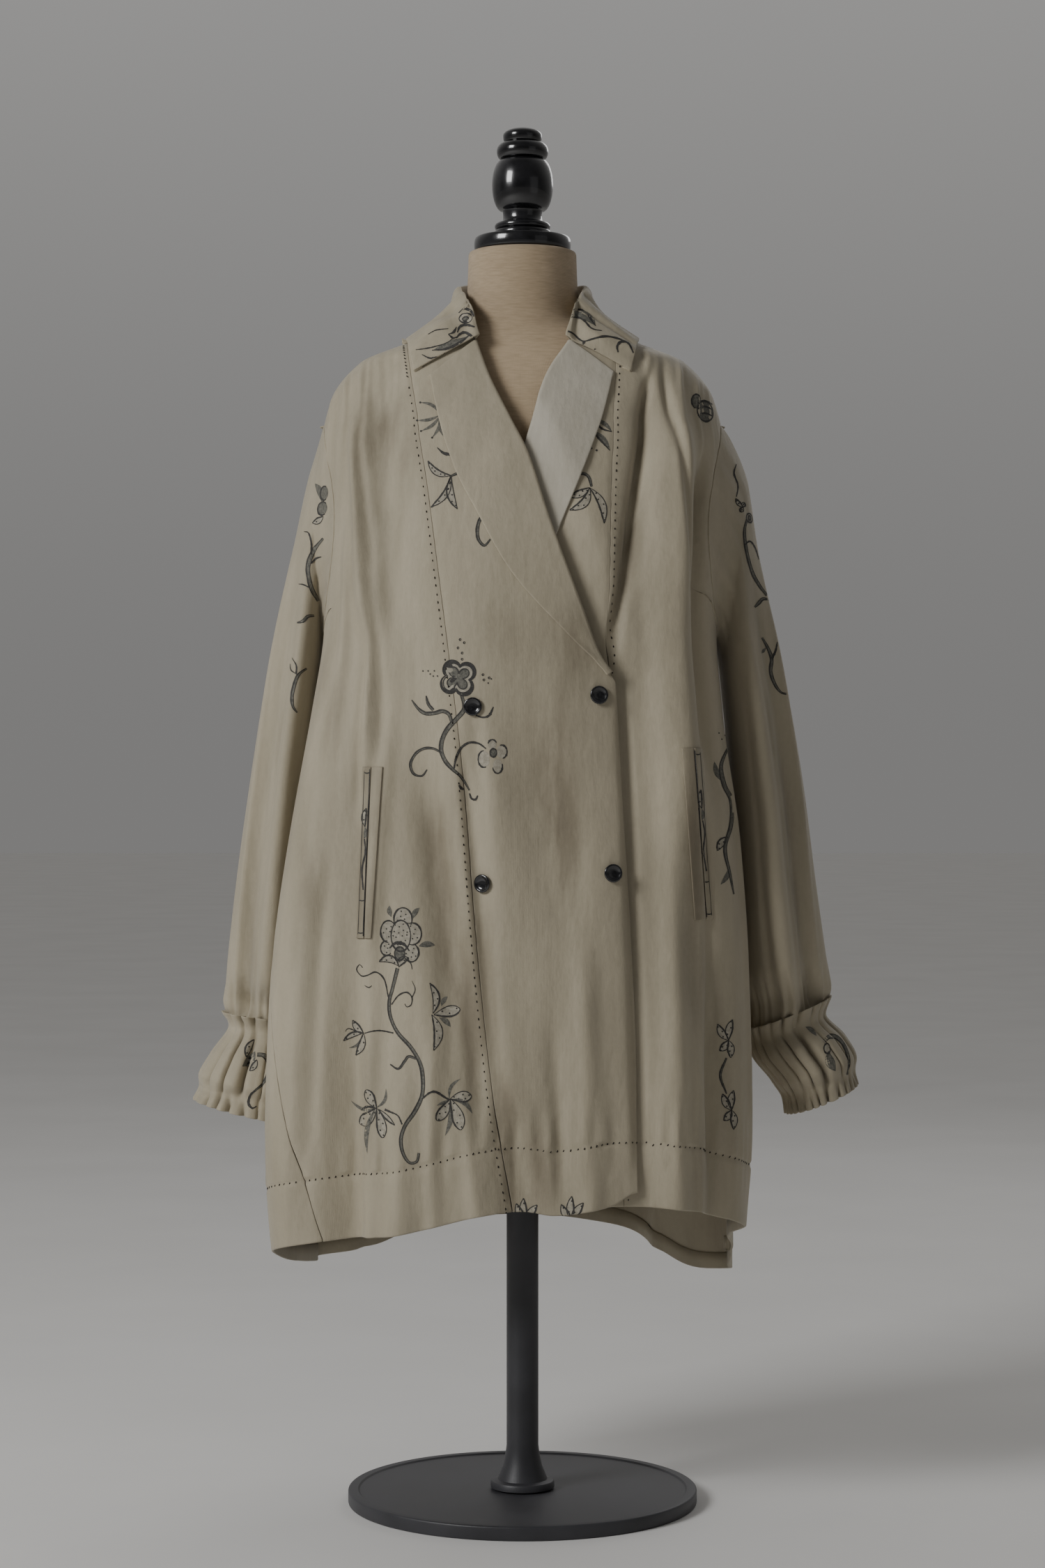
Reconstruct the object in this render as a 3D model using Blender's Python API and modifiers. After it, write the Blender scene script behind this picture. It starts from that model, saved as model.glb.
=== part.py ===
"""An oversized double-breasted silk jacket, standing on a limbless dress form.

Metres, +Z up. The front of the jacket faces -Y and the wearer's right is at -X. The origin is
the middle of the underside of the stand's base.

A place on the jacket's body is a column and a height. Columns run round the body: 0 is the
middle of the front, 1 the left side, 2 or -2 the middle of the back and -1 the right side. Each
cloth piece is a grid of such places, lifted off the body's surface and then given its wall.
"""

import math
from collections import namedtuple

import bmesh
import bpy
import numpy as np
from mathutils import Matrix, Vector

# Driving sizes
CLOTH = 0.0015            # wall of the silk with its backing
SEAM = 0.0007             # space between two panels along a seam
COLUMN = 0.28             # about how wide one column of the body is, for the seams' space
LAY = 0.0006              # space under a piece that lies on another
SEAT = 0.0003             # space between two hard pieces that touch
ROUNDNESS = 2.3           # power of the superellipse that the body's rings follow
NECKLINE = 1.188          # height of the neckline at the back and sides
STRAIGHT_ABOVE = 1.000    # above it the columns run straight up to the shoulder ridge
ARMHOLE_BOTTOM = 0.865
ARMHOLE_CUT = 0.27        # how far the armhole is cut into the front and back, in columns
WAIST_OF_STAND = 0.460    # height of the torso's underside
NECK_TOP = 1.254          # height of the neck's flat top
BUTTON_RADIUS = 0.009
BUTTON_HEIGHT = 0.0035
POLE_RADIUS = 0.016
BASE_RADIUS = 0.175
BASE_HEIGHT = 0.014
CUFF_WAVES = 20           # gathers round a cuff

SILK = ("silk", (0.55, 0.52, 0.44, 1.0), 0.55, 0.0)
COOL_SILK = ("cool_silk", (0.58, 0.59, 0.57, 1.0), 0.55, 0.0)
LINEN = ("linen", (0.45, 0.36, 0.24, 1.0), 0.85, 0.0)
LACQUER = ("black_lacquer", (0.006, 0.006, 0.007, 1.0), 0.12, 0.0)
STEEL = ("dark_steel", (0.05, 0.05, 0.055, 1.0), 0.35, 0.9)

# The body's horizontal rings
Section = namedtuple("Section", "height half_width front_depth back_depth")
SECTIONS = (
    Section(1.190, 0.066, 0.062, 0.062),
    Section(1.162, 0.115, 0.071, 0.067),
    Section(1.142, 0.163, 0.078, 0.072),
    Section(1.105, 0.192, 0.092, 0.085),
    Section(1.055, 0.202, 0.110, 0.100),
    Section(1.000, 0.199, 0.122, 0.110),
    Section(0.950, 0.197, 0.132, 0.118),
    Section(0.865, 0.193, 0.138, 0.124),
    Section(0.800, 0.197, 0.142, 0.130),
    Section(0.660, 0.207, 0.150, 0.145),
    Section(0.540, 0.2135, 0.157, 0.160),
    Section(0.380, 0.2175, 0.165, 0.177),
    Section(0.220, 0.2185, 0.170, 0.185),
)

# Large folds: a ridge where the depth is positive, a valley where it is negative.
# A fold starts at top, is full from full down to fade, and has gone at end.
Fold = namedtuple("Fold", "name column_top column_end top full fade end half_width depth")
FOLDS = (
    Fold("side bulge right", -0.68, -0.76, 1.08, 0.48, 0.40, -0.10, 0.22, 0.053),
    Fold("side bulge left", 0.70, 0.72, 1.08, 0.55, 0.45, 0.00, 0.20, 0.018),
    Fold("chest ridge right", -0.57, -0.50, 1.14, 1.04, 0.93, 0.83, 0.050, 0.011),
    Fold("pocket ridge right", -0.49, -0.47, 0.96, 0.88, 0.78, 0.70, 0.040, 0.008),
    Fold("seam valley right", -0.31, -0.06, 0.78, 0.66, 0.46, 0.34, 0.060, -0.010),
    Fold("front swell", -0.02, 0.12, 0.84, 0.70, 0.66, 0.52, 0.080, -0.007),
    Fold("hem valley front", -0.02, 0.04, 0.44, 0.33, 0.10, 0.00, 0.055, -0.009),
    Fold("hem ridge right", -0.30, -0.34, 0.52, 0.34, 0.10, 0.00, 0.070, 0.012),
    Fold("skirt valley right", -0.50, -0.52, 0.60, 0.40, 0.10, 0.00, 0.070, -0.014),
    Fold("chest valley left", 0.40, 0.31, 1.13, 1.07, 0.95, 0.84, 0.045, -0.007),
    Fold("chest ridge left", 0.52, 0.51, 1.13, 1.03, 0.74, 0.56, 0.070, 0.014),
    Fold("deep valley left", 0.66, 0.64, 1.06, 1.00, 0.80, 0.68, 0.045, -0.010),
    Fold("skirt valley left", 0.62, 0.60, 0.62, 0.42, 0.10, 0.00, 0.060, -0.010),
    Fold("hem ridge left", 0.42, 0.44, 0.60, 0.36, 0.10, 0.00, 0.070, 0.010),
    Fold("side valley left", 0.98, 1.00, 0.80, 0.46, 0.10, 0.00, 0.080, -0.010),
    Fold("back fold a", 1.30, 1.34, 0.86, 0.42, 0.10, 0.00, 0.090, 0.020),
    Fold("back fold b", 1.66, 1.72, 0.94, 0.44, 0.10, 0.00, 0.085, 0.018),
    Fold("back valley", 1.98, 2.00, 1.02, 0.46, 0.10, 0.00, 0.080, -0.014),
    Fold("back fold c", 2.30, 2.24, 0.94, 0.44, 0.10, 0.00, 0.085, 0.018),
    Fold("back fold d", 2.68, 2.66, 0.86, 0.42, 0.10, 0.00, 0.090, 0.020),
)

# Gathers sewn into the shoulder seams. They rise in the first part below the seam and fade out.
Gathers = namedtuple("Gathers", "name first last waves rise reach depth")
GATHERS = (
    Gathers("right shoulder", -0.82, -0.42, 5, 0.006, 0.110, 0.0045),
    Gathers("left shoulder", 0.36, 0.80, 5, 0.006, 0.110, 0.0045),
)

# Lower edge of the jacket
Hem = namedtuple("Hem", "column height")
HEM = (
    Hem(-2.00, 0.268), Hem(-1.75, 0.256), Hem(-1.50, 0.236), Hem(-1.30, 0.230),
    Hem(-1.10, 0.236), Hem(-0.95, 0.246), Hem(-0.80, 0.262), Hem(-0.52, 0.282),
    Hem(-0.35, 0.288), Hem(-0.20, 0.299), Hem(-0.09, 0.3085), Hem(0.00, 0.312),
    Hem(0.06, 0.309), Hem(0.24, 0.3165), Hem(0.50, 0.309), Hem(0.75, 0.290),
    Hem(0.95, 0.274), Hem(1.10, 0.250), Hem(1.25, 0.222), Hem(1.40, 0.2156),
    Hem(1.60, 0.235), Hem(1.80, 0.257), Hem(2.00, 0.268),
)
CORNER_WIDTH = 0.040      # the rounded lower corner of the right front
CORNER_HEIGHT = 0.014

# Seams and free edges as seen from the front
Edge = namedtuple("Edge", "height x")
RIGHT_SEAM = (
    Edge(1.180, -0.1180), Edge(1.161, -0.1155), Edge(1.000, -0.0912), Edge(0.870, -0.0745),
    Edge(0.720, -0.0560), Edge(0.575, -0.0445), Edge(0.410, -0.0270), Edge(0.310, -0.0087),
    Edge(0.250, -0.0010),
)
LEFT_SEAM = (
    Edge(1.180, 0.0947), Edge(1.130, 0.0916), Edge(1.000, 0.0863), Edge(0.900, 0.0846),
    Edge(0.830, 0.0870), Edge(0.600, 0.0900), Edge(0.250, 0.1010),
)
RIGHT_FRONT_EDGE = (
    Edge(0.830, 0.0895), Edge(0.817, 0.0905), Edge(0.720, 0.0958), Edge(0.575, 0.1044),
    Edge(0.450, 0.1092), Edge(0.250, 0.1107),
)
LEFT_FRONT_EDGE = (
    Edge(0.835, -0.0700), Edge(0.720, -0.0640), Edge(0.500, -0.0560), Edge(0.250, -0.0480),
)

# Side seams, as columns
Side = namedtuple("Side", "height column")
RIGHT_SIDE = (Side(0.865, -1.00), Side(0.700, -0.90), Side(0.500, -0.74), Side(0.280, -0.58))
LEFT_SIDE = (Side(0.865, 1.00), Side(0.600, 1.02), Side(0.250, 1.12))

# Upper edges of the two centre fronts: shoulder, neckline, then down the lapel's roll.
# Each row is where one of the panel's columns starts.
Top = namedtuple("Top", "x height")
RIGHT_TOP = (
    Top(-0.1155, 1.1650), Top(-0.0900, 1.1770), Top(-0.0660, 1.1880), Top(-0.0610, 1.1810),
    Top(-0.0545, 1.1690), Top(-0.0470, 1.1550), Top(-0.0350, 1.1207), Top(-0.0126, 1.0736),
    Top(0.0025, 1.0430), Top(0.0250, 0.9740), Top(0.0550, 0.8920), Top(0.0735, 0.8430),
    Top(0.0900, 0.8180),
)
LEFT_TOP = (
    Top(-0.0700, 0.8300), Top(-0.0450, 0.8920), Top(-0.0200, 0.9740), Top(-0.0060, 1.0130),
    Top(0.0010, 1.0430), Top(0.0100, 1.0735), Top(0.0252, 1.1200), Top(0.0468, 1.1545),
    Top(0.0535, 1.1670), Top(0.0605, 1.1785), Top(0.0660, 1.1880), Top(0.0800, 1.1830),
    Top(0.0945, 1.1760),
)
LAP_DEPTH_CHEST = 0.0088  # how far the left front is tucked in under the right one
LAP_DEPTH_SKIRT = 0.0050
LAP_CLEAR = 0.005         # the tuck is full this far outside the right front's edge
LAP_BLEND = 0.040
LAP_DEEPENS = 0.800       # the tuck is at its skirt depth below this height
LAP_DEEP_OVER = 0.030     # and at its chest depth this much higher

# Lapels: where they roll over, and their outer edge
Lapel = namedtuple("Lapel", "roll_x roll_z edge_x edge_z")
RIGHT_LAPEL = (
    Lapel(-0.0470, 1.1550, -0.0897, 1.1207), Lapel(-0.0350, 1.1207, -0.0800, 1.0740),
    Lapel(-0.0126, 1.0736, -0.0650, 1.0270), Lapel(0.0025, 1.0430, -0.0426, 0.9820),
    Lapel(0.0250, 0.9740, -0.0100, 0.9250), Lapel(0.0550, 0.8920, 0.0400, 0.8690),
    Lapel(0.0735, 0.8430, 0.0690, 0.8400), Lapel(0.0850, 0.8270, 0.0820, 0.8250),
)
LEFT_LAPEL = (
    Lapel(0.0468, 1.1545, 0.0880, 1.1235), Lapel(0.0252, 1.1200, 0.0776, 1.0810),
    Lapel(0.0100, 1.0735, 0.0586, 1.0276), Lapel(0.0010, 1.0430, 0.0400, 0.9820),
    Lapel(-0.0200, 0.9740, 0.0180, 0.9300), Lapel(-0.0450, 0.8920, -0.0260, 0.8700),
    Lapel(-0.0690, 0.8400, -0.0600, 0.8350),
)
LAPEL_LAY = 0.0013        # space under a lapel at its roll
LAPEL_LIFT = 0.0014       # the lapel stands off this much more away from its roll
LEFT_LAPEL_LAY = 0.0005   # more space under the left lapel, whose front is tucked in

# Collar from its front end to the middle of the back: neck edge, roll and fall edge
Station = namedtuple("Station", "neck_x neck_y neck_z roll_x roll_y roll_z fall_x fall_y fall_z")
COLLAR = (
    Station(0.0470, -0.0660, 1.1570, 0.0415, -0.0745, 1.1630, 0.1060, -0.0752, 1.1275),
    Station(0.0550, -0.0535, 1.1740, 0.0500, -0.0580, 1.1960, 0.1115, -0.0635, 1.1500),
    Station(0.0612, -0.0245, 1.1855, 0.0575, -0.0270, 1.2130, 0.1155, -0.0330, 1.1635),
    Station(0.0624, 0.0040, 1.1860, 0.0605, 0.0040, 1.2245, 0.1165, 0.0020, 1.1665),
    Station(0.0445, 0.0440, 1.1860, 0.0480, 0.0480, 1.2320, 0.0800, 0.0700, 1.1620),
    Station(0.0000, 0.0584, 1.1860, 0.0000, 0.0660, 1.2350, 0.0000, 0.0880, 1.1680),
)

COLLAR_SAG = 0.013        # how far the fall's middle hangs in towards the neck

# Sleeves: the outer and inner side of each ring, seen from the front
Ring = namedtuple("Ring", "outer_x outer_z inner_x inner_z depth")
RIGHT_SLEEVE = (
    Ring(0.2070, 1.0600, 0.196, 0.868, 0.062), Ring(0.2165, 1.0350, 0.198, 0.845, 0.068),
    Ring(0.2300, 0.9720, 0.200, 0.815, 0.074), Ring(0.2405, 0.9168, 0.202, 0.780, 0.076),
    Ring(0.2550, 0.8380, 0.206, 0.720, 0.077), Ring(0.2665, 0.7594, 0.209, 0.670, 0.077),
    Ring(0.2835, 0.6255, 0.213, 0.580, 0.075), Ring(0.2925, 0.5350, 0.214, 0.520, 0.068),
    Ring(0.2950, 0.4990, 0.218, 0.490, 0.0426), Ring(0.2958, 0.4745, 0.219, 0.4645, 0.0426),
)
LEFT_SLEEVE = (
    Ring(0.2180, 1.0720, 0.196, 0.868, 0.062), Ring(0.2290, 1.0190, 0.200, 0.830, 0.070),
    Ring(0.2375, 0.9600, 0.203, 0.800, 0.074), Ring(0.2475, 0.9010, 0.205, 0.780, 0.075),
    Ring(0.2595, 0.8380, 0.208, 0.740, 0.076), Ring(0.2790, 0.7120, 0.213, 0.660, 0.076),
    Ring(0.2890, 0.6250, 0.216, 0.590, 0.075), Ring(0.2985, 0.5520, 0.2205, 0.530, 0.068),
    Ring(0.3035, 0.5120, 0.230, 0.490, 0.0430), Ring(0.3045, 0.4875, 0.2315, 0.4605, 0.0430),
)
HEAD_LAY = 0.0008         # space under a sleeve's edge where it is set into the armhole
SLEEVE_HEAD = 0.10        # share of the sleeve over which it leaves the armhole's shape
SleeveFold = namedtuple("SleeveFold", "name turn_top turn_end first full half_width depth")
SLEEVE_FOLDS = (
    SleeveFold("outer ridge", -0.10, -0.02, 0.10, 0.50, 0.06, 0.007),
    SleeveFold("front valley", -0.17, -0.13, 0.05, 0.45, 0.05, -0.009),
    SleeveFold("front ridge", -0.26, -0.24, 0.15, 0.60, 0.06, 0.008),
    SleeveFold("back valley", 0.14, 0.12, 0.05, 0.45, 0.05, -0.008),
    SleeveFold("back ridge", 0.24, 0.25, 0.15, 0.60, 0.07, 0.008),
)

# Cuffs: heading ruffle, gathered seam, flounce, second gathered seam and frill
Cuff = namedtuple("Cuff", "name outer_x outer_z inner_x inner_z depth wave")
RIGHT_CUFF = (
    Cuff("heading", 0.3065, 0.4880, 0.208, 0.478, 0.0520, 0.0030),
    Cuff("first seam", 0.2985, 0.4740, 0.214, 0.464, 0.0450, 0.0006),
    Cuff("flounce", 0.3140, 0.4470, 0.207, 0.435, 0.0550, 0.0014),
    Cuff("flounce foot", 0.3260, 0.4250, 0.203, 0.405, 0.0620, 0.0014),
    Cuff("second seam", 0.3280, 0.4130, 0.207, 0.390, 0.0610, 0.0006),
    Cuff("frill", 0.3320, 0.4000, 0.205, 0.373, 0.0650, 0.0038),
)
LEFT_CUFF = (
    Cuff("heading", 0.3125, 0.5040, 0.2255, 0.472, 0.0520, 0.0030),
    Cuff("first seam", 0.3070, 0.4870, 0.2290, 0.460, 0.0450, 0.0006),
    Cuff("flounce", 0.3240, 0.4650, 0.2370, 0.443, 0.0550, 0.0014),
    Cuff("flounce foot", 0.3350, 0.4440, 0.2560, 0.420, 0.0600, 0.0014),
    Cuff("second seam", 0.3360, 0.4300, 0.2640, 0.404, 0.0560, 0.0006),
    Cuff("frill", 0.3370, 0.4160, 0.2690, 0.388, 0.0580, 0.0038),
)
RIGHT_ARM_Y = 0.045       # the arms hang a little behind the body's middle
LEFT_ARM_Y = 0.030
ARM_CLEAR = 0.0050        # space between the arms and the body
WRIST_CLEAR = 0.0035      # how much more there is at the sleeve's end, inside the cuff

# Pockets: the ends of each printed strip, seen from the front
Pocket = namedtuple("Pocket", "top_x top_z end_x end_z")
RIGHT_POCKET = Pocket(-0.1500, 0.7360, -0.1560, 0.5720)
LEFT_POCKET = Pocket(0.1690, 0.7540, 0.1815, 0.5890)
WELT_LAY = 0.0014         # space under a pocket's printed strip
FACING_LAY = 0.0011       # space under the plain strip beside it
WELT_WIDTH = 0.0068
FACING_TOP_WIDTH = 0.0100
FACING_END_WIDTH = 0.0050

# Buttons, seen from the front
Spot = namedtuple("Spot", "name x z")
BUTTONS = (
    Spot("button_upper_right", -0.0477, 0.7945), Spot("button_upper_left", 0.0733, 0.8055),
    Spot("button_lower_right", -0.0375, 0.6245), Spot("button_lower_left", 0.0866, 0.6342),
)

# The form: hips, waist, chest, sloping shoulders and neck
FORM = (
    Section(0.460, 0.158, 0.104, 0.114),
    Section(0.472, 0.168, 0.112, 0.122),
    Section(0.530, 0.170, 0.115, 0.125),
    Section(0.620, 0.156, 0.108, 0.115),
    Section(0.740, 0.130, 0.095, 0.092),
    Section(0.850, 0.150, 0.106, 0.095),
    Section(0.930, 0.165, 0.112, 0.097),
    Section(1.040, 0.174, 0.094, 0.089),
    Section(1.090, 0.175, 0.082, 0.079),
    Section(1.118, 0.171, 0.074, 0.0720),
    Section(1.1380, 0.159, 0.066, 0.0670),
    Section(1.1590, 0.113, 0.058, 0.0600),
    Section(1.1720, 0.084, 0.054, 0.0560),
    Section(1.1810, 0.064, 0.0535, 0.0545),
    Section(1.1900, 0.0575, 0.0535, 0.0545),
    Section(1.2150, 0.0555, 0.0555, 0.0555),
    Section(1.2540, 0.0540, 0.0540, 0.0540),
)
FORM_ROUNDNESS = 2.2

# The turned finial, from its disc up
Turning = namedtuple("Turning", "name height radius foot waist squareness")
FINIAL = (
    Turning("disc", 0.0147, 0.0487, 0.0440, 0.0440, 5.0),
    Turning("lower ring", 0.0074, 0.0287, 0.0250, 0.0250, 3.0),
    Turning("upper ring", 0.0073, 0.0280, 0.0250, 0.0225, 3.0),
    Turning("waist", 0.0119, 0.0196, 0.0225, 0.0205, 2.0),
    Turning("bulb", 0.0518, 0.0308, 0.0205, 0.0205, 2.0),
    Turning("collar ring", 0.0168, 0.0260, 0.0205, 0.0175, 2.4),
    Turning("knob", 0.0147, 0.0196, 0.0175, 0.0000, 2.0),
)


def smooth(share):
    """Ease from 0 to 1 as the share goes from 0 to 1."""
    share = np.clip(share, 0.0, 1.0)
    return share * share * (3.0 - 2.0 * share)


def blend(first, last, share):
    return first + (last - first) * share


def curve(places, values):
    """A smooth function through the given points that never swings past them."""
    places = np.array(places, float)
    values = np.array(values, float)
    order = np.argsort(places)
    places = places[order]
    values = values[order]
    steps = np.diff(places)
    slopes = np.diff(values) / steps
    tangents = np.zeros(len(values))
    tangents[0] = slopes[0]
    tangents[-1] = slopes[-1]
    for i in range(1, len(slopes)):
        before, after = slopes[i - 1], slopes[i]
        if before * after > 0.0:
            tangents[i] = 2.0 * before * after / (before + after)

    def value(at):
        at = np.clip(at, places[0], places[-1])
        i = np.clip(np.searchsorted(places, at, side="right") - 1, 0, len(steps) - 1)
        share = (at - places[i]) / steps[i]
        rest = 1.0 - share
        start = values[i] * (1.0 + 2.0 * share) * rest ** 2
        start = start + tangents[i] * steps[i] * share * rest ** 2
        stop = values[i + 1] * share ** 2 * (3.0 - 2.0 * share)
        return start + stop - tangents[i + 1] * steps[i] * share ** 2 * rest

    return value


def column_curve(rows, key, field):
    """A smooth function from one named column of a table to another."""
    return curve([getattr(row, key) for row in rows], [getattr(row, field) for row in rows])


def row_curves(rows, fields):
    """Smooth functions of the share of the way down a table, one for each named column."""
    shares = np.linspace(0.0, 1.0, len(rows))
    return [curve(shares, [getattr(row, field) for row in rows]) for field in fields.split()]


half_width = column_curve(SECTIONS, "height", "half_width")
front_depth = column_curve(SECTIONS, "height", "front_depth")
back_depth = column_curve(SECTIONS, "height", "back_depth")
hem_height = column_curve(HEM, "column", "height")
FULL_WIDTH = float(half_width(STRAIGHT_ABOVE))
SIDE_TOP = SECTIONS[4].height
RIDGE_HEIGHTS = np.linspace(SIDE_TOP, SECTIONS[0].height, 120)
RIDGE_WIDTHS = half_width(RIDGE_HEIGHTS)


def ridge_over(x):
    """Height of the shoulder ridge at a distance from the middle."""
    height = np.interp(np.abs(x), RIDGE_WIDTHS[::-1], RIDGE_HEIGHTS[::-1])
    return np.minimum(height, NECKLINE)


def ridge_height(column):
    """Height at which a column ends on the shoulder ridge or the neckline."""
    return ridge_over(FULL_WIDTH * np.abs(np.sin(column * math.pi / 2)) ** (2 / ROUNDNESS))


def wrapped(column):
    """The same column, between -2 and 2."""
    return (column + 2.0) % 4.0 - 2.0


def fold_lift(column, height):
    """How far the folds and gathers lift the cloth at a place."""
    lift = np.zeros(np.broadcast(column, height).shape)
    for fold in FOLDS:
        way = np.clip((fold.top - height) / (fold.top - fold.end), 0.0, 1.0)
        away = wrapped(column - blend(fold.column_top, fold.column_end, way))
        growth = smooth((fold.top - height) / (fold.top - fold.full))
        growth = growth * smooth((height - fold.end) / (fold.fade - fold.end))
        lift = lift + fold.depth * growth * np.exp(-(away / fold.half_width) ** 2)
    below = ridge_height(column) - height
    for row in GATHERS:
        along = (wrapped(column) - row.first) / (row.last - row.first)
        wave = 0.5 - 0.5 * np.cos(2 * math.pi * row.waves * np.clip(along, 0.0, 1.0))
        growth = smooth(below / row.rise) * (1.0 - smooth(below / row.reach))
        lift = lift + row.depth * wave * growth
    return lift


def wall_point(column, height):
    """Point of the body's folded surface."""
    column, height = np.broadcast_arrays(np.asarray(column, float), np.asarray(height, float))
    width = half_width(height)
    sine = np.sin(column * math.pi / 2)
    cosine = np.cos(column * math.pi / 2)
    spread = np.where(height > STRAIGHT_ABOVE, np.maximum(1.0, FULL_WIDTH / width), 1.0)
    across = np.minimum(np.abs(sine) * spread ** (ROUNDNESS / 2), 1.0)
    along = np.sqrt(1.0 - across ** 2)
    depth = np.where(cosine >= 0.0, front_depth(height), back_depth(height))
    x = np.sign(sine) * width * across ** (2 / ROUNDNESS)
    y = -np.sign(cosine) * depth * along ** (2 / ROUNDNESS)
    out_x = np.sign(sine) * across ** (2 - 2 / ROUNDNESS) / width
    out_y = -np.sign(cosine) * along ** (2 - 2 / ROUNDNESS) / depth
    scale = fold_lift(column, height) / np.sqrt(out_x ** 2 + out_y ** 2)
    return np.stack([x + out_x * scale, y + out_y * scale, height], axis=-1)


def body(column, height, out=0.0):
    """Point of the body's surface, moved outwards by a distance."""
    reach = 0.004
    column, height = np.broadcast_arrays(np.asarray(column, float), np.asarray(height, float))
    lower = np.minimum(height, ridge_height(column) - reach)
    across = wall_point(column + reach, lower) - wall_point(column - reach, lower)
    down = wall_point(column, lower - reach) - wall_point(column, lower)
    normal = np.cross(down, across)
    normal = normal / np.linalg.norm(normal, axis=-1, keepdims=True)
    return wall_point(column, height) + normal * np.broadcast_to(out, height.shape)[..., None]


def column_at(x, height):
    """Column of the front at which the folded surface has this x."""
    x, height = np.broadcast_arrays(np.asarray(x, float), np.asarray(height, float))
    low = np.full(x.shape, -1.0)
    high = np.full(x.shape, 1.0)
    for _ in range(40):
        middle = (low + high) / 2
        short = wall_point(middle, height)[..., 0] < x
        low = np.where(short, middle, low)
        high = np.where(short, high, middle)
    return (low + high) / 2


def side_reach(y, height, side):
    """How far out the body's side is at a depth and a height."""
    low = np.full(y.shape, 0.3)
    high = np.full(y.shape, 1.7)
    for _ in range(30):
        middle = (low + high) / 2
        short = wall_point(side * middle, height)[..., 1] < y
        low = np.where(short, middle, low)
        high = np.where(short, high, middle)
    return np.abs(wall_point(side * (low + high) / 2, height)[..., 0])


def edge_columns(rows):
    """Column of a seam or free edge at each height."""
    x_at = column_curve(rows, "height", "x")
    heights = np.linspace(rows[-1].height, rows[0].height, 60)
    under_ridge = np.minimum(heights, ridge_over(x_at(heights)) - 0.0005)
    columns = column_at(x_at(heights), under_ridge)
    return lambda height: np.interp(height, heights, columns)


right_seam = edge_columns(RIGHT_SEAM)
left_seam = edge_columns(LEFT_SEAM)
right_front_edge = edge_columns(RIGHT_FRONT_EDGE)
left_front_edge = edge_columns(LEFT_FRONT_EDGE)
right_side = column_curve(RIGHT_SIDE, "height", "column")
left_side = column_curve(LEFT_SIDE, "height", "column")
ARMHOLE_TOP = float(ridge_height(1.0))


def armhole(height):
    """Half width of the armhole's cut at a height, in columns."""
    middle = (ARMHOLE_TOP + ARMHOLE_BOTTOM) / 2
    half = (ARMHOLE_TOP - ARMHOLE_BOTTOM) / 2
    return ARMHOLE_CUT * np.sqrt(np.clip(1.0 - ((height - middle) / half) ** 2, 0.0, 1.0))


def lap_edge(height):
    """x of the right front's free edge: its roll above the lapel's foot, then its edge."""
    rows = [Edge(row.height, row.x) for row in RIGHT_TOP[5:]] + list(RIGHT_FRONT_EDGE[2:])
    return column_curve(rows, "height", "x")(height)


def tuck(x, height):
    """How far a piece of the left front lies inside the body's surface."""
    depth = blend(LAP_DEPTH_SKIRT, LAP_DEPTH_CHEST, smooth((height - LAP_DEEPENS) / LAP_DEEP_OVER))
    inside = smooth((lap_edge(height) + LAP_CLEAR + LAP_BLEND - x) / LAP_BLEND)
    return -depth * inside


def down_the_panel(share):
    """Rows lie closer together near a panel's top, where its shape turns."""
    turn = 0.3
    steep = 1.0 / (2 * turn - turn ** 2)
    return np.where(share < turn, steep * share ** 2, steep * (2 * turn * share - turn ** 2))


def panel(top_columns, top_heights, left, right, share_across, share_down):
    """Columns and heights of a panel between its top edge, two side edges and the hem."""
    start = float(top_heights(0.0))
    stop = float(top_heights(1.0))

    def foot(edge):
        height = 0.30
        for _ in range(6):
            height = float(hem_height(wrapped(edge(height))))
        return float(edge(height)), height

    left_foot, left_hem = foot(left)
    right_foot, right_hem = foot(right)
    down = down_the_panel(share_down)
    bottom = hem_height(wrapped(blend(left_foot, right_foot, share_across)))
    height = blend(top_heights(share_across), bottom, down)
    left_column = left(blend(start, left_hem, down))
    right_column = right(blend(stop, right_hem, down))
    shift = top_columns(share_across) - blend(float(left(start)), float(right(stop)), share_across)
    column = blend(left_column, right_column, share_across)
    return column + shift * (1.0 - smooth(share_down / 0.6)), height


def inset(share, column):
    """Draw the two outer columns in by half a seam's space."""
    half_space = SEAM / 2 / COLUMN
    first = np.where(share < 1e-6, half_space, 0.0)
    return column + first - np.where(share > 1 - 1e-6, half_space, 0.0)


def off_the_ridge(points, side):
    """Keep a front or back clear of the shoulder seam."""
    clear = side * np.maximum(side * points[..., 1], SEAM)
    points[..., 1] = np.where(points[..., 2] > ARMHOLE_TOP - 0.01, clear, points[..., 1])
    return points


def front_side_right(u, t):
    start = float(right_seam(ridge_over(RIGHT_TOP[0].x)))

    def left(height):
        above = -1.0 + armhole(height)
        return np.where(height > ARMHOLE_BOTTOM, above, right_side(height))

    column, height = panel(
        lambda share: blend(-1.0, start, share),
        lambda share: ridge_height(blend(-1.0, start, share)), left, right_seam, u, t)
    return off_the_ridge(body(inset(u, column), height), -1)


def front_side_left(u, t):
    start = float(left_seam(ridge_over(LEFT_TOP[-1].x)))

    def right(height):
        above = 1.0 - armhole(height)
        return np.where(height > ARMHOLE_BOTTOM, above, left_side(height))

    column, height = panel(
        lambda share: blend(start, 1.0, share),
        lambda share: ridge_height(blend(start, 1.0, share)), left_seam, right, u, t)
    column = inset(u, column)
    x = wall_point(column, height)[..., 0]
    return off_the_ridge(body(column, height, tuck(x, height)), -1)


def top_edge(rows):
    """Columns and heights along the upper edge of a centre front."""
    x_at, height_at = row_curves(rows, "x height")

    def heights(share):
        return np.minimum(height_at(share), ridge_over(x_at(share)))

    def columns(share):
        return column_at(x_at(share), heights(share) - 0.0005)

    return columns, heights


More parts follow.
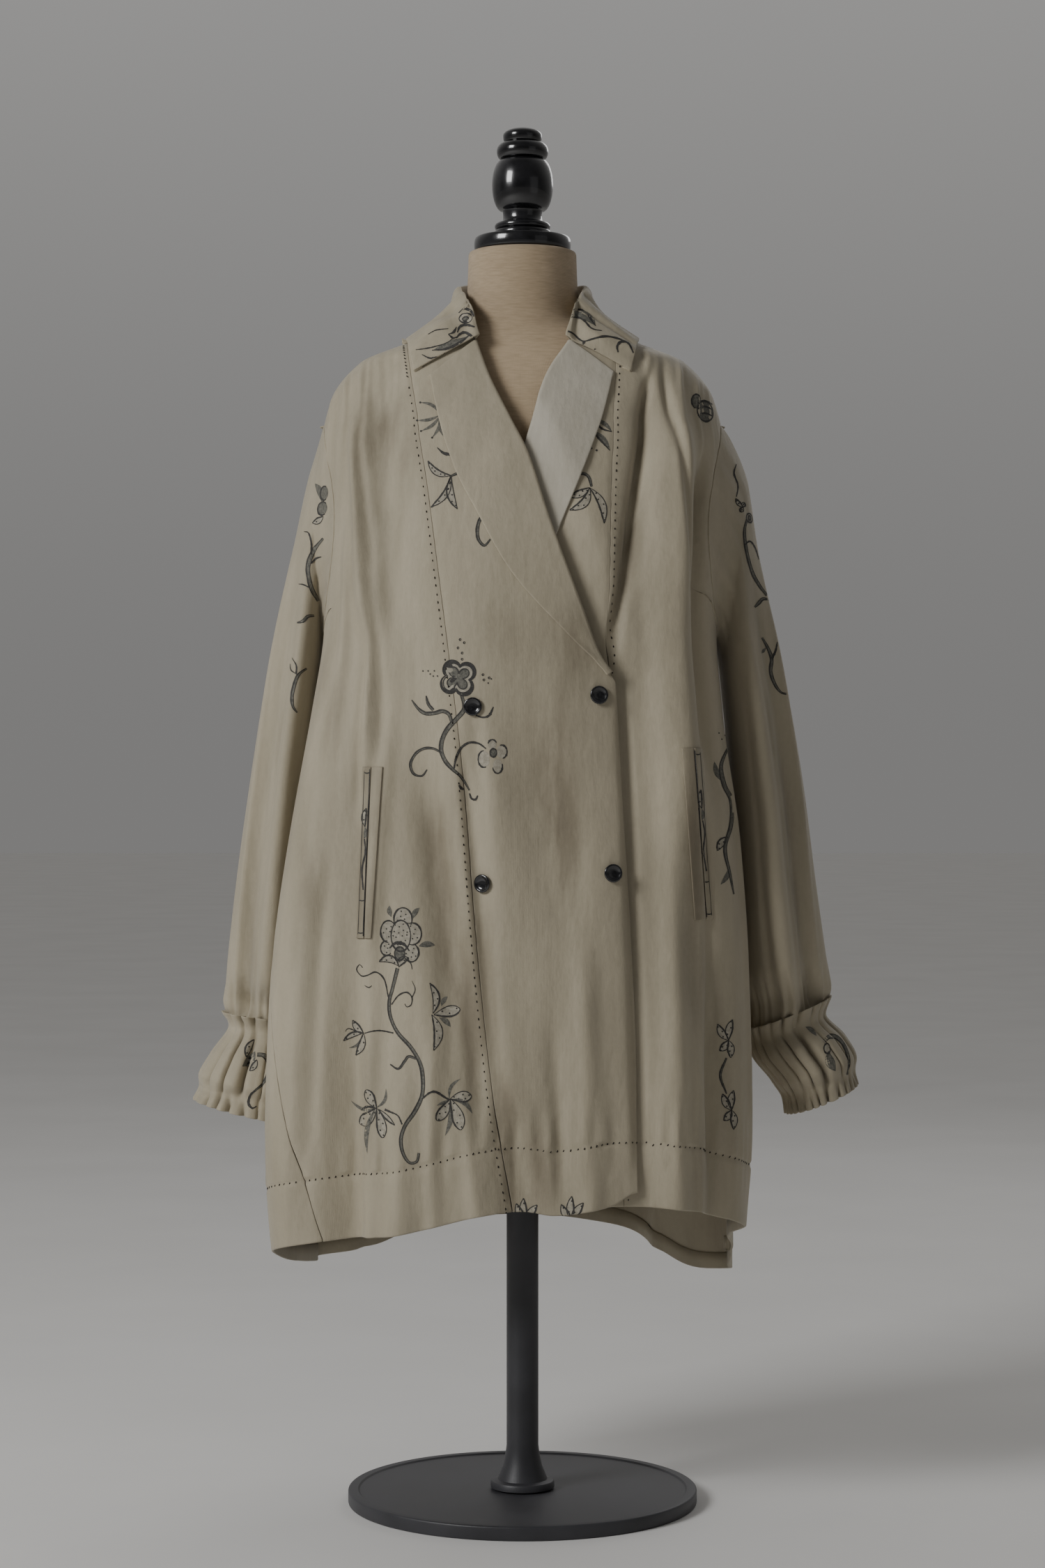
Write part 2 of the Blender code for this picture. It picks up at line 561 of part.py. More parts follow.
def front_centre_right(u, t):
    columns, heights = top_edge(RIGHT_TOP)
    column, height = panel(columns, heights, right_seam, right_front_edge, u, t)
    points = body(inset(u, column), height)
    from_edge = float(wall_point(right_front_edge(0.32), 0.32)[0]) - points[..., 0]
    corner = smooth(1.0 - from_edge / CORNER_WIDTH) ** 2 * smooth((t - 0.9) / 0.1)
    points[..., 2] += CORNER_HEIGHT * corner
    return off_the_ridge(points, -1)


def front_centre_left(u, t):
    columns, heights = top_edge(LEFT_TOP)
    column, height = panel(columns, heights, left_front_edge, left_seam, u, t)
    column = inset(u, column)
    x = wall_point(column, height)[..., 0]
    return off_the_ridge(body(column, height, tuck(x, height)), -1)


def back(u, t):
    def left(height):
        return np.where(height > ARMHOLE_BOTTOM, 1.0 + armhole(height), left_side(height))

    def right(height):
        return np.where(height > ARMHOLE_BOTTOM, 3.0 - armhole(height), 4.0 + right_side(height))

    column, height = panel(
        lambda share: blend(1.0, 3.0, share),
        lambda share: ridge_height(blend(1.0, 3.0, share)), left, right, u, t)
    return off_the_ridge(body(inset(u, column), height), 1)


def lapel(rows, u, t, roll_at, lapped):
    """A lapel lies on its front, from its roll to its outer edge."""
    roll_x, roll_z, edge_x, edge_z = row_curves(rows, "roll_x roll_z edge_x edge_z")
    share = np.abs(u - roll_at)
    x = blend(roll_x(t), edge_x(t), share)
    height = blend(roll_z(t), edge_z(t), share)
    out = CLOTH + LAPEL_LAY + LAPEL_LIFT * smooth(share * 3.0)
    if lapped:
        out = out + tuck(x, height) + LEFT_LAPEL_LAY
    return body(column_at(x, height), height, out)


def lapel_right(u, t):
    return lapel(RIGHT_LAPEL, u, t, 1.0, False)


def lapel_left(u, t):
    return lapel(LEFT_LAPEL, u, t, 0.0, True)


def mirrored_stations():
    """The collar's stations from its left end, round the back, to its right end."""
    other = [row._replace(neck_x=-row.neck_x, roll_x=-row.roll_x, fall_x=-row.fall_x)
             for row in COLLAR[-2::-1]]
    return list(COLLAR) + other


def collar(u, t):
    """Stand, rounded roll and fall of the collar, as one band."""
    rows = mirrored_stations()
    lines = []
    for edge in ("neck", "roll", "fall"):
        reads = row_curves(rows, " ".join(edge + "_" + axis for axis in "xyz"))
        lines.append(np.stack([read(u) for read in reads], axis=-1))
    neck, roll, fall = lines
    before = blend(neck, roll, 0.80)
    after = blend(roll, fall, 0.14)
    crown = before * 0.25 + roll * 0.5 + after * 0.25
    middle = blend(neck, roll, 0.4)
    outward = fall * (1.0, 1.0, 0.0)
    outward = outward / np.linalg.norm(outward, axis=-1, keepdims=True)
    sag = COLLAR_SAG * smooth((fall[..., 1:2] + 0.055) / 0.05)
    hanging = blend(roll, fall, 0.55) - sag * outward
    points = np.stack([neck, middle, before, crown, after, hanging, fall], axis=0)
    row = np.rint(t * (len(points) - 1)).astype(int)
    return np.take_along_axis(points, row[None, :, None], axis=0)[0]


def clear_of_body(points, side, clearance):
    """Push an arm's points out, so that they pass beside the body."""
    reach = side_reach(points[..., 1], points[..., 2], side) + clearance
    beyond = side * points[..., 0] - reach
    points[..., 0] = side * (reach + 0.5 * (beyond + np.sqrt(beyond ** 2 + 0.003 ** 2)))
    return points


def tube_ring(rows, side, arm_y, turn, t):
    """Point of a ring seen from the front as a tilted line, with its middle and half line."""
    fields = "outer_x outer_z inner_x inner_z depth"
    outer_x, outer_z, inner_x, inner_z, depth = [read(t) for read in row_curves(rows, fields)]
    zero = np.zeros(np.shape(t))
    middle = np.stack([side * (outer_x + inner_x) / 2, zero + arm_y, (outer_z + inner_z) / 2], -1)
    half = np.stack([side * (outer_x - inner_x) / 2, zero, (outer_z - inner_z) / 2], -1)
    backward = np.stack([zero, depth, zero], -1)
    spoke = half * np.cos(turn)[..., None] + backward * np.sin(turn)[..., None]
    return middle, spoke


def sleeve(rows, side, arm_y, u, t):
    turn = side * 2 * math.pi * u
    middle, spoke = tube_ring(rows, side, arm_y, turn, t)
    lift = np.zeros(np.shape(t))
    for fold in SLEEVE_FOLDS:
        way = np.clip((t - fold.first) / (1.0 - fold.first), 0.0, 1.0)
        place = blend(fold.turn_top, fold.turn_end, way)
        away = (side * u - place + 0.5) % 1.0 - 0.5
        growth = smooth((t - fold.first) / (fold.full - fold.first)) * smooth((1.0 - t) / 0.12)
        lift = lift + fold.depth * growth * np.exp(-(away / fold.half_width) ** 2)
    length = np.linalg.norm(spoke, axis=-1)
    points = middle + spoke * (1.0 + lift / length)[..., None]
    clearance = ARM_CLEAR + WRIST_CLEAR * smooth((t - 0.8) / 0.2)
    points = clear_of_body(points, side, clearance)
    height = blend(ARMHOLE_BOTTOM, ARMHOLE_TOP, 0.5 + 0.5 * np.cos(turn))
    column = side * (1.0 + ARMHOLE_CUT * np.sin(turn))
    head = body(column, np.minimum(height, ridge_height(column)), CLOTH + HEAD_LAY)
    return blend(head, points, smooth(t / SLEEVE_HEAD)[..., None])


def sleeve_right(u, t):
    return sleeve(RIGHT_SLEEVE, -1, RIGHT_ARM_Y, u, t)


def sleeve_left(u, t):
    return sleeve(LEFT_SLEEVE, 1, LEFT_ARM_Y, u, t)


def cuff(rows, side, arm_y, u, t):
    turn = side * 2 * math.pi * u
    middle, spoke = tube_ring(rows, side, arm_y, turn, t)
    wave = row_curves(rows, "wave")[0](t) * np.cos(CUFF_WAVES * turn)
    length = np.linalg.norm(spoke, axis=-1)
    points = middle + spoke * (1.0 + wave / length)[..., None]
    return clear_of_body(points, side, ARM_CLEAR)


def cuff_right(u, t):
    return cuff(RIGHT_CUFF, -1, RIGHT_ARM_Y, u, t)


def cuff_left(u, t):
    return cuff(LEFT_CUFF, 1, LEFT_ARM_Y, u, t)


def pocket_strip(pocket, near, far_top, far_end, lay):
    """A strip beside a pocket's line, between two distances from it."""
    def place(u, t):
        line_x = blend(pocket.top_x, pocket.end_x, t)
        x = line_x + blend(near, blend(far_top, far_end, t), u)
        height = blend(pocket.top_z, pocket.end_z, t)
        return body(column_at(x, height), height, CLOTH + lay)
    return place


def new_material(finish):
    """Principled material from a finish's name, colour, roughness and metallic value."""
    name, colour, roughness, metallic = finish
    material = bpy.data.materials.get(name)
    if material is None:
        material = bpy.data.materials.new(name)
        material.use_nodes = True
        shader = material.node_tree.nodes["Principled BSDF"]
        shader.inputs["Base Color"].default_value = colour
        shader.inputs["Roughness"].default_value = roughness
        shader.inputs["Metallic"].default_value = metallic
        material.diffuse_color = colour
    return material


def new_object(name, mesh, finish):
    thing = bpy.data.objects.new(name, mesh)
    mesh.materials.append(new_material(finish))
    jacket.objects.link(thing)
    return thing


def cloth_sheet(name, place, across, down, finish=SILK, looped=False):
    """A grid of places across and down a piece, given the cloth's wall on its inner side."""
    grid = bmesh.new()
    bmesh.ops.create_grid(grid, x_segments=across, y_segments=down, size=0.5)
    corners = np.array([vertex.co for vertex in grid.verts])
    points = place(corners[:, 0] + 0.5, 0.5 - corners[:, 1])
    for vertex, point in zip(grid.verts, points):
        vertex.co = Vector(point)
    if looped:
        bmesh.ops.remove_doubles(grid, verts=grid.verts, dist=0.000001)
    mesh = bpy.data.meshes.new(name)
    grid.to_mesh(mesh)
    grid.free()
    mesh.shade_smooth()
    sheet = new_object(name, mesh, finish)
    wall = sheet.modifiers.new("cloth wall", "SOLIDIFY")
    wall.thickness = CLOTH
    wall.offset = -1.0
    return sheet


def turned_piece(name, profile, steps, finish):
    """A profile of radius and height points, from the top down, turned round the Z axis."""
    mesh = bpy.data.meshes.new(name)
    points = [(radius, 0.0, height) for radius, height in profile]
    mesh.from_pydata(points, [(i, i + 1) for i in range(len(points) - 1)], [])
    piece = new_object(name, mesh, finish)
    screw = piece.modifiers.new("turning", "SCREW")
    screw.steps = steps
    screw.render_steps = steps
    screw.use_merge_vertices = True
    screw.merge_threshold = 0.00001
    return piece


def add_torso():
    """The linen torso and neck, from rings, with a flat underside and a flat top."""
    widths = column_curve(FORM, "height", "half_width")
    fronts = column_curve(FORM, "height", "front_depth")
    backs = column_curve(FORM, "height", "back_depth")
    heights = [row.height for row in FORM]
    extra = [(low + high) / 2 for low, high in zip(heights, heights[1:]) if high - low > 0.06]
    heights = sorted(heights + extra)
    across = 20
    shell = bmesh.new()
    bmesh.ops.create_grid(shell, x_segments=across, y_segments=len(heights) - 1, size=0.5)
    for vertex in shell.verts:
        turn = 2 * math.pi * vertex.co.x
        height = heights[round((vertex.co.y + 0.5) * (len(heights) - 1))]
        sine = math.sin(turn)
        cosine = math.cos(turn)
        power = 2 / FORM_ROUNDNESS if height < 1.18 else 1.0
        depth = fronts(height) if cosine > 0.0 else backs(height)
        x = math.copysign(abs(sine) ** power, sine) * widths(height)
        y = -math.copysign(abs(cosine) ** power, cosine) * depth
        vertex.co = Vector((x, y, height))
    bmesh.ops.remove_doubles(shell, verts=shell.verts, dist=0.000001)
    bmesh.ops.holes_fill(shell, edges=[edge for edge in shell.edges if edge.is_boundary])
    bmesh.ops.recalc_face_normals(shell, faces=shell.faces)
    mesh = bpy.data.meshes.new("form_torso")
    shell.to_mesh(mesh)
    shell.free()
    mesh.shade_smooth()
    mesh.set_sharp_from_angle(angle=math.radians(40))
    return new_object("form_torso", mesh, LINEN)


def add_finial():
    """Disc, rings, waist, bulb and knob, turned as one piece that stands on the neck."""
    bead_points = 4
    profile = [(0.0, 0.0)]
    height = 0.0
    for row in FINIAL:
        for i in range(bead_points + 1):
            angle = -math.pi / 2 + math.pi * i / bead_points
            waist = row.foot if angle < 0.0 else row.waist
            swell = abs(math.cos(angle)) ** (2 / row.squareness)
            radius = waist + (row.radius - waist) * swell
            level = height + row.height * (0.5 + 0.5 * math.sin(angle))
            if math.hypot(radius - profile[-1][0], level - profile[-1][1]) > 0.0005:
                profile.append((radius, level))
        height += row.height
    profile[-1] = (0.0, height)
    finial = turned_piece("form_finial", profile[::-1], 18, LACQUER)
    finial.location = (0.0, 0.0, NECK_TOP + SEAT)
    return finial


def add_button(spot):
    """A dished face inside a raised rim, with its back lying on the cloth."""
    rim = BUTTON_HEIGHT
    face = BUTTON_HEIGHT * 0.6
    radius = BUTTON_RADIUS
    profile = [
        (0.0, face), (radius * 0.62, face), (radius * 0.76, rim), (radius * 0.92, rim * 0.97),
        (radius, rim * 0.6), (radius * 0.95, rim * 0.2), (radius * 0.8, 0.0), (0.0, 0.0),
    ]
    button = turned_piece(spot.name, profile, 16, LACQUER)
    column = column_at(spot.x, spot.z)
    seat = Vector(body(column, spot.z, LAY))
    outward = Vector(body(column, spot.z, 1.0) - body(column, spot.z))
    turn = outward.normalized().to_track_quat("Z", "Y").to_matrix().to_4x4()
    button.matrix_world = Matrix.Translation(seat) @ turn
    return button


def add_stand():
    """A turned pole with a flange under the torso, and a round base."""
    top = WAIST_OF_STAND - SEAT
    foot = BASE_HEIGHT + SEAT
    profile = [
        (0.0, top), (0.045, top), (0.045, top - 0.006), (0.022, top - 0.012),
        (POLE_RADIUS, top - 0.030), (POLE_RADIUS, foot + 0.040), (0.024, foot + 0.012),
        (0.032, foot + 0.006), (0.032, foot), (0.0, foot),
    ]
    turned_piece("stand_pole", profile, 16, STEEL)
    bpy.ops.mesh.primitive_cylinder_add(
        vertices=40, radius=BASE_RADIUS, depth=BASE_HEIGHT, location=(0.0, 0.0, BASE_HEIGHT / 2))
    base = bpy.context.object
    base.name = "stand_base"
    base.data.name = "stand_base"
    base.data.materials.append(new_material(STEEL))
    for owner in list(base.users_collection):
        owner.objects.unlink(base)
    jacket.objects.link(base)
    edge = base.modifiers.new("rounded edge", "BEVEL")
    edge.width = 0.003
    edge.limit_method = "ANGLE"
    return base


for thing in list(bpy.data.objects):
    bpy.data.objects.remove(thing, do_unlink=True)
jacket = bpy.data.collections.new("silk_jacket_on_dress_form")
bpy.context.scene.collection.children.link(jacket)

cloth_sheet("front_side_right", front_side_right, 16, 20)
cloth_sheet("front_side_left", front_side_left, 16, 20)
cloth_sheet("front_centre_right", front_centre_right, 12, 22)
cloth_sheet("front_centre_left", front_centre_left, 12, 22)
cloth_sheet("back", back, 28, 19)
cloth_sheet("lapel_right", lapel_right, 4, 18)
cloth_sheet("lapel_left", lapel_left, 4, 18, COOL_SILK)
cloth_sheet("collar", collar, 24, 6)
cloth_sheet("sleeve_right", sleeve_right, 19, 13, looped=True)
cloth_sheet("sleeve_left", sleeve_left, 19, 13, looped=True)
cloth_sheet("cuff_right", cuff_right, 3 * CUFF_WAVES, 5, looped=True)
cloth_sheet("cuff_left", cuff_left, 3 * CUFF_WAVES, 5, looped=True)

half_welt = WELT_WIDTH / 2
near = half_welt + 2 * SEAM
for name, pocket in (("pocket_welt_right", RIGHT_POCKET), ("pocket_welt_left", LEFT_POCKET)):
    cloth_sheet(name, pocket_strip(pocket, -half_welt, half_welt, half_welt, WELT_LAY), 1, 8)
beside = pocket_strip(
    RIGHT_POCKET, near, near + FACING_TOP_WIDTH, near + FACING_END_WIDTH, FACING_LAY)
cloth_sheet("pocket_facing_right", beside, 2, 8)
beside = pocket_strip(LEFT_POCKET, -near - FACING_TOP_WIDTH, -near, -near, FACING_LAY)
cloth_sheet("pocket_facing_left", beside, 2, 8)

for spot in BUTTONS:
    add_button(spot)
add_torso()
add_finial()
add_stand()
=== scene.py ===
"""The looks of a silk jacket on its dress form: fine cloth, print, stitches, form and stand.

Metres, +Z up. The front of the jacket faces -Y and the wearer's right is at -X.
"""

import math
from collections import namedtuple

import bmesh
import bpy
import numpy as np
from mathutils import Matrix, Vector
from mathutils.bvhtree import BVHTree


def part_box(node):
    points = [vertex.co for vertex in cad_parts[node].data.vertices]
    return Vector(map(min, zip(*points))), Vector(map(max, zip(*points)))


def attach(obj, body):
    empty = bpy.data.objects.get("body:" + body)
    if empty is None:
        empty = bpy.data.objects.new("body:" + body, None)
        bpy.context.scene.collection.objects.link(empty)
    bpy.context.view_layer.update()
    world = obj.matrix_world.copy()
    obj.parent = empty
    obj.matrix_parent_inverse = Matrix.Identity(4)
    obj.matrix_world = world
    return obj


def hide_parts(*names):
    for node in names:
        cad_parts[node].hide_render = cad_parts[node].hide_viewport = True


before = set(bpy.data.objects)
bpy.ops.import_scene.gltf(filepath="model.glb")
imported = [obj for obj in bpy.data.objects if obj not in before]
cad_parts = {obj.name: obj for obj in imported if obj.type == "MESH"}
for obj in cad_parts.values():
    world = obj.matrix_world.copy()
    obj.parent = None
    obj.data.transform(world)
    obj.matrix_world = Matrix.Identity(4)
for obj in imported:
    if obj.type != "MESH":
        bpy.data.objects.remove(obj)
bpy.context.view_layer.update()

# The base
# A heavy round steel plate that keeps the form from tipping. It is turned with a low step
# near its rim, rounded at the edges and powder-coated dark grey.
base_low, base_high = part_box("stand_base")
base_radius = (base_high.x - base_low.x) / 2
BASE_STEP = 0.010
BASE_STEP_DEPTH = 0.0015
BASE_ROUNDING = 0.002
POWDER_GREY = (0.045, 0.045, 0.050)


def new_finish(name, roughness):
    """A Principled material, with its node tree and its shader."""
    finish = bpy.data.materials.new(name)
    finish.use_nodes = True
    shader = finish.node_tree.nodes["Principled BSDF"]
    shader.inputs["Roughness"].default_value = roughness
    return finish, finish.node_tree, shader


def add_node(tree, kind, feeds, **settings):
    """A shader node, its settings, and the sockets or values that feed it."""
    node = tree.nodes.new("ShaderNode" + kind)
    for name, value in settings.items():
        setattr(node, name, value)
    for name, value in feeds.items():
        if isinstance(value, bpy.types.NodeSocket):
            tree.links.new(value, node.inputs[name])
        else:
            node.inputs[name].default_value = value
    return node


def add_noise(tree, place, scale, detail):
    """How strong a cloudy noise is at each place."""
    return add_node(tree, "TexNoise", {"Vector": place, "Scale": scale, "Detail": detail}).outputs["Fac"]


def add_ramp(tree, feed, stops):
    """Colours along a value, from rows of place and colour."""
    ramp = add_node(tree, "ValToRGB", {"Fac": feed})
    elements = ramp.color_ramp.elements
    for element, (place, colour) in zip((elements[0], elements[-1]), (stops[0], stops[-1])):
        element.position = place
        element.color = (*colour, 1.0)
    for place, colour in stops[1:-1]:
        elements.new(place).color = (*colour, 1.0)
    return ramp.outputs["Color"]


def add_colour(tree, shader, feed, stops):
    """The shader's own colour, from colours along a value."""
    tree.links.new(add_ramp(tree, feed, stops), shader.inputs["Base Color"])


def add_roughness(tree, shader, feed, least, most):
    """The shader's roughness, from a value between 0 and 1."""
    rough = add_node(tree, "MapRange", {"Value": feed, "To Min": least, "To Max": most})
    tree.links.new(rough.outputs["Result"], shader.inputs["Roughness"])


def add_bump(tree, shader, height, distance):
    """Relief on a shader, from a height between 0 and 1."""
    bump = add_node(tree, "Bump", {"Height": height, "Distance": distance, "Strength": 1.0})
    tree.links.new(bump.outputs["Normal"], shader.inputs["Normal"])


def powder_coat(name):
    """Baked powder: a fine orange-peel relief and slight dust in its gloss."""
    finish, tree, shader = new_finish(name, 0.45)
    place = add_node(tree, "TexCoord", {}).outputs["Object"]
    dust = add_noise(tree, place, 14.0, 5.0)
    darker = tuple(0.75 * part for part in POWDER_GREY)
    lighter = tuple(1.35 * part for part in POWDER_GREY)
    add_colour(tree, shader, dust, [(0.35, darker), (0.5, POWDER_GREY), (0.72, lighter)])
    add_roughness(tree, shader, dust, 0.36, 0.58)
    add_bump(tree, shader, add_noise(tree, place, 900.0, 2.0), 0.00012)
    return finish


def select_faces(piece, wanted):
    """Select only the faces of a piece in edit mode that a test picks."""
    bpy.ops.mesh.select_all(action="DESELECT")
    shape = bmesh.from_edit_mesh(piece.data)
    for face in shape.faces:
        if wanted(face):
            face.select_set(True)
    bmesh.update_edit_mesh(piece.data)


def round_edges(piece, width, angle):
    """Bevel the sharp edges of a finished piece and shade it smooth."""
    edge = piece.modifiers.new("rounding", "BEVEL")
    edge.width = width
    edge.segments = 3
    edge.limit_method = "ANGLE"
    edge.angle_limit = math.radians(angle)
    bpy.ops.object.modifier_apply(modifier=edge.name)
    bpy.ops.object.transform_apply(location=True, rotation=True, scale=True)
    bpy.ops.object.shade_smooth_by_angle(angle=math.radians(35))


bpy.ops.object.select_all(action="DESELECT")
bpy.ops.mesh.primitive_cylinder_add(
    vertices=128, radius=base_radius, depth=base_high.z - base_low.z,
    location=(0.0, 0.0, (base_low.z + base_high.z) / 2))
base = bpy.context.object
base.name = "weighted_base"
bpy.ops.object.mode_set(mode="EDIT")
select_faces(base, lambda face: face.normal.z > 0.9)
bpy.ops.mesh.inset(thickness=BASE_STEP, depth=0.0)
bpy.ops.mesh.inset(thickness=BASE_STEP_DEPTH, depth=-BASE_STEP_DEPTH)
bpy.ops.object.mode_set(mode="OBJECT")
round_edges(base, BASE_ROUNDING, 50)
base.data.materials.append(powder_coat("powder_coated_steel"))
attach(base, "root")
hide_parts("stand_base")

# The pole
# A steel tube that stands in the base and carries the torso on a flange. It is powder-coated
# like the base, and a turned foot covers its joint.
pole_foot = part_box("stand_pole")[0].z


def table(kind, *rows):
    """Rows of figures, with the names of their columns."""
    return tuple(kind(*row) for row in rows)


Turned = namedtuple("Turned", "height radius")
POLE_RADIUS = 0.016
POLE = table(
    Turned, (0.0, 0.0320), (0.0050, 0.0320), (0.0065, 0.0310), (0.0080, 0.0250), (0.0120, 0.0235),
    (0.0220, 0.0195), (0.0340, 0.0170), (0.0420, POLE_RADIUS), (0.2200, POLE_RADIUS),
    (0.3950, POLE_RADIUS), (0.4154, POLE_RADIUS), (0.4240, 0.0176), (0.4334, 0.0220), (0.4374, 0.0400),
    (0.4394, 0.0450), (0.4454, 0.0450))


def turned_piece(name, foot, rings, sides):
    """A disc at the lowest ring, with each next ring pulled up out of it and scaled."""
    bpy.ops.object.select_all(action="DESELECT")
    bpy.ops.mesh.primitive_circle_add(
        vertices=sides, radius=rings[0].radius, fill_type="NGON", location=(0.0, 0.0, foot))
    piece = bpy.context.object
    piece.name = name
    bpy.ops.object.mode_set(mode="EDIT")
    bpy.ops.mesh.select_all(action="SELECT")
    for below, ring in zip(rings, rings[1:]):
        rise = (0.0, 0.0, ring.height - below.height)
        bpy.ops.mesh.extrude_region_move(TRANSFORM_OT_translate={"value": rise})
        growth = ring.radius / below.radius
        bpy.ops.transform.resize(value=(growth, growth, 1.0), center_override=(0.0, 0.0, 0.0))
    bpy.ops.mesh.select_all(action="SELECT")
    bpy.ops.mesh.normals_make_consistent(inside=False)
    bpy.ops.object.mode_set(mode="OBJECT")
    bpy.ops.object.transform_apply(location=True, rotation=True, scale=True)
    bpy.ops.object.shade_smooth_by_angle(angle=math.radians(40))
    return piece


pole = turned_piece("pole", pole_foot, POLE, 48)
pole.data.materials.append(base.data.materials[0])
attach(pole, "root")
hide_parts("stand_pole")

# The torso
# A padded shell with no limbs, covered in cream linen that is pulled smooth and sewn. Only
# its neck and a little of the chest show above the jacket.
FORM_ROUNDNESS = 2.2
Section = namedtuple("Section", "height half_width front_depth back_depth")
FORM = table(
    Section, (0.460, 0.158, 0.104, 0.114), (0.472, 0.168, 0.112, 0.122), (0.530, 0.170, 0.115, 0.125),
    (0.620, 0.156, 0.108, 0.115), (0.740, 0.130, 0.095, 0.092), (0.850, 0.150, 0.106, 0.095),
    (0.930, 0.165, 0.112, 0.097), (1.040, 0.174, 0.094, 0.089), (1.090, 0.175, 0.082, 0.079),
    (1.118, 0.171, 0.074, 0.072), (1.138, 0.159, 0.066, 0.067), (1.159, 0.113, 0.058, 0.060),
    (1.172, 0.084, 0.054, 0.056), (1.181, 0.064, 0.0535, 0.0545), (1.190, 0.0575, 0.0535, 0.0545),
    (1.215, 0.0555, 0.0555, 0.0555), (1.254, 0.0540, 0.0540, 0.0540))
NECK_ROUNDING = 0.003
LINEN_LIGHT = (0.60, 0.465, 0.310)
LINEN_DARK = (0.42, 0.31, 0.19)


def blend(first, last, share):
    """From the first to the last as the share goes from 0 to 1."""
    return first + (last - first) * share


def smooth(share):
    """Ease from 0 to 1 as the share goes from 0 to 1."""
    share = np.clip(share, 0.0, 1.0)
    return share * share * (3.0 - 2.0 * share)


def curve(places, values):
    """A smooth function through the given points that never swings past them."""
    order = np.argsort(places)
    places = np.array(places, float)[order]
    values = np.array(values, float)[order]
    steps = np.diff(places)
    slopes = np.diff(values) / steps
    tangents = np.concatenate([slopes[:1], slopes])
    before, after = slopes[:-1], slopes[1:]
    same_way = before * after > 0.0
    total = np.where(same_way, before + after, 1.0)
    tangents[1:-1] = np.where(same_way, 2.0 * before * after / total, 0.0)

    def value(at):
        at = np.clip(at, places[0], places[-1])
        i = np.clip(np.searchsorted(places, at, side="right") - 1, 0, len(steps) - 1)
        share = (at - places[i]) / steps[i]
        rest = 1.0 - share
        start = values[i] * (1.0 + 2.0 * share) * rest ** 2
        start = start + tangents[i] * steps[i] * share * rest ** 2
        stop = values[i + 1] * share ** 2 * (3.0 - 2.0 * share)
        return start + stop - tangents[i + 1] * steps[i] * share ** 2 * rest

    return value


def column_curve(rows, key, field):
    """A smooth function from one named column of a table to another."""
    return curve([getattr(row, key) for row in rows], [getattr(row, field) for row in rows])


def row_curves(rows, fields):
    """Smooth functions of the share of the way down a table, one for each named column."""
    shares = np.linspace(0.0, 1.0, len(rows))
    return [curve(shares, [getattr(row, field) for row in rows]) for field in fields.split()]


def sheet_mesh(name, points, weave, looped=False):
    """A mesh from rows of points, facing out, with its weave coordinates in metres."""
    rows, columns = points.shape[:2]
    here = np.arange(columns if looped else columns - 1)[None, :]
    after = (here + 1) % columns
    start = np.arange(rows - 1)[:, None] * columns
    corners = np.stack([start + columns + here, start + columns + after, start + after, start + here], -1)
    mesh = bpy.data.meshes.new(name)
    mesh.from_pydata(points.reshape(-1, 3).tolist(), [], corners.reshape(-1, 4).tolist())
    threads = mesh.uv_layers.new(name="weave")
    around = np.stack([weave[1:, :-1], weave[1:, 1:], weave[:-1, 1:], weave[:-1, :-1]], axis=2)
    threads.data.foreach_set("uv", around.astype(np.float32).ravel())
    mesh.shade_smooth()
    return mesh


def add_weave(tree, thread, slub):
    """Height of a plain weave: warp and weft bands of uneven threads."""
    threads = add_node(tree, "UVMap", {}, uv_map="weave")
    scale = 0.314 / thread
    bands = []
    for direction in ("X", "Y"):
        wave = add_node(
            tree, "TexWave", {"Vector": threads.outputs["UV"], "Scale": scale, "Distortion": slub,
                              "Detail": 1.0, "Detail Scale": 0.02}, bands_direction=direction)
        bands.append(wave.outputs["Fac"])
    return add_node(tree, "Math", {0: bands[0], 1: bands[1]}, operation="MAXIMUM").outputs[0]


def add_stretched_noise(tree, place, scales, detail):
    """A noise with its own scale along each axis."""
    stretched = add_node(tree, "Mapping", {"Vector": place, "Scale": scales})
    return add_noise(tree, stretched.outputs[0], 1.0, detail)


def add_object(name, data):
    """A new object, linked to the scene."""
    added = bpy.data.objects.new(name, data)
    bpy.context.scene.collection.objects.link(added)
    return added


def linen_cloth(name):
    """Cream linen with a plain weave, slubs and a little wear."""
    finish, tree, shader = new_finish(name, 0.9)
    shader.inputs["Sheen Weight"].default_value = 0.2
    place = add_node(tree, "TexCoord", {}).outputs["Object"]
    wear = add_noise(tree, place, 16.0, 6.0)
    slubs = add_stretched_noise(tree, place, (90.0, 90.0, 600.0), 3.0)
    both = add_node(tree, "Math", {0: wear, 1: slubs}, operation="ADD")
    half = add_node(tree, "Math", {0: both.outputs[0], 1: 0.5}, operation="MULTIPLY")
    add_colour(tree, shader, half.outputs[0], [(0.26, LINEN_DARK), (0.60, LINEN_LIGHT)])
    add_bump(tree, shader, add_weave(tree, 0.0009, 1.2), 0.00025)
    return finish


def form_point(turn, height):
    """Point of the torso's skin at an angle from the front."""
    sine = np.sin(turn)
    cosine = np.cos(turn)
    power = blend(2.0 / FORM_ROUNDNESS, 1.0, smooth((height - 1.160) / 0.030))
    depth = np.where(cosine > 0.0, form_front(height), form_back(height))
    x = np.sign(sine) * np.abs(sine) ** power * form_width(height)
    y = -np.sign(cosine) * np.abs(cosine) ** power * depth
    return np.stack([x, y, height], axis=-1)


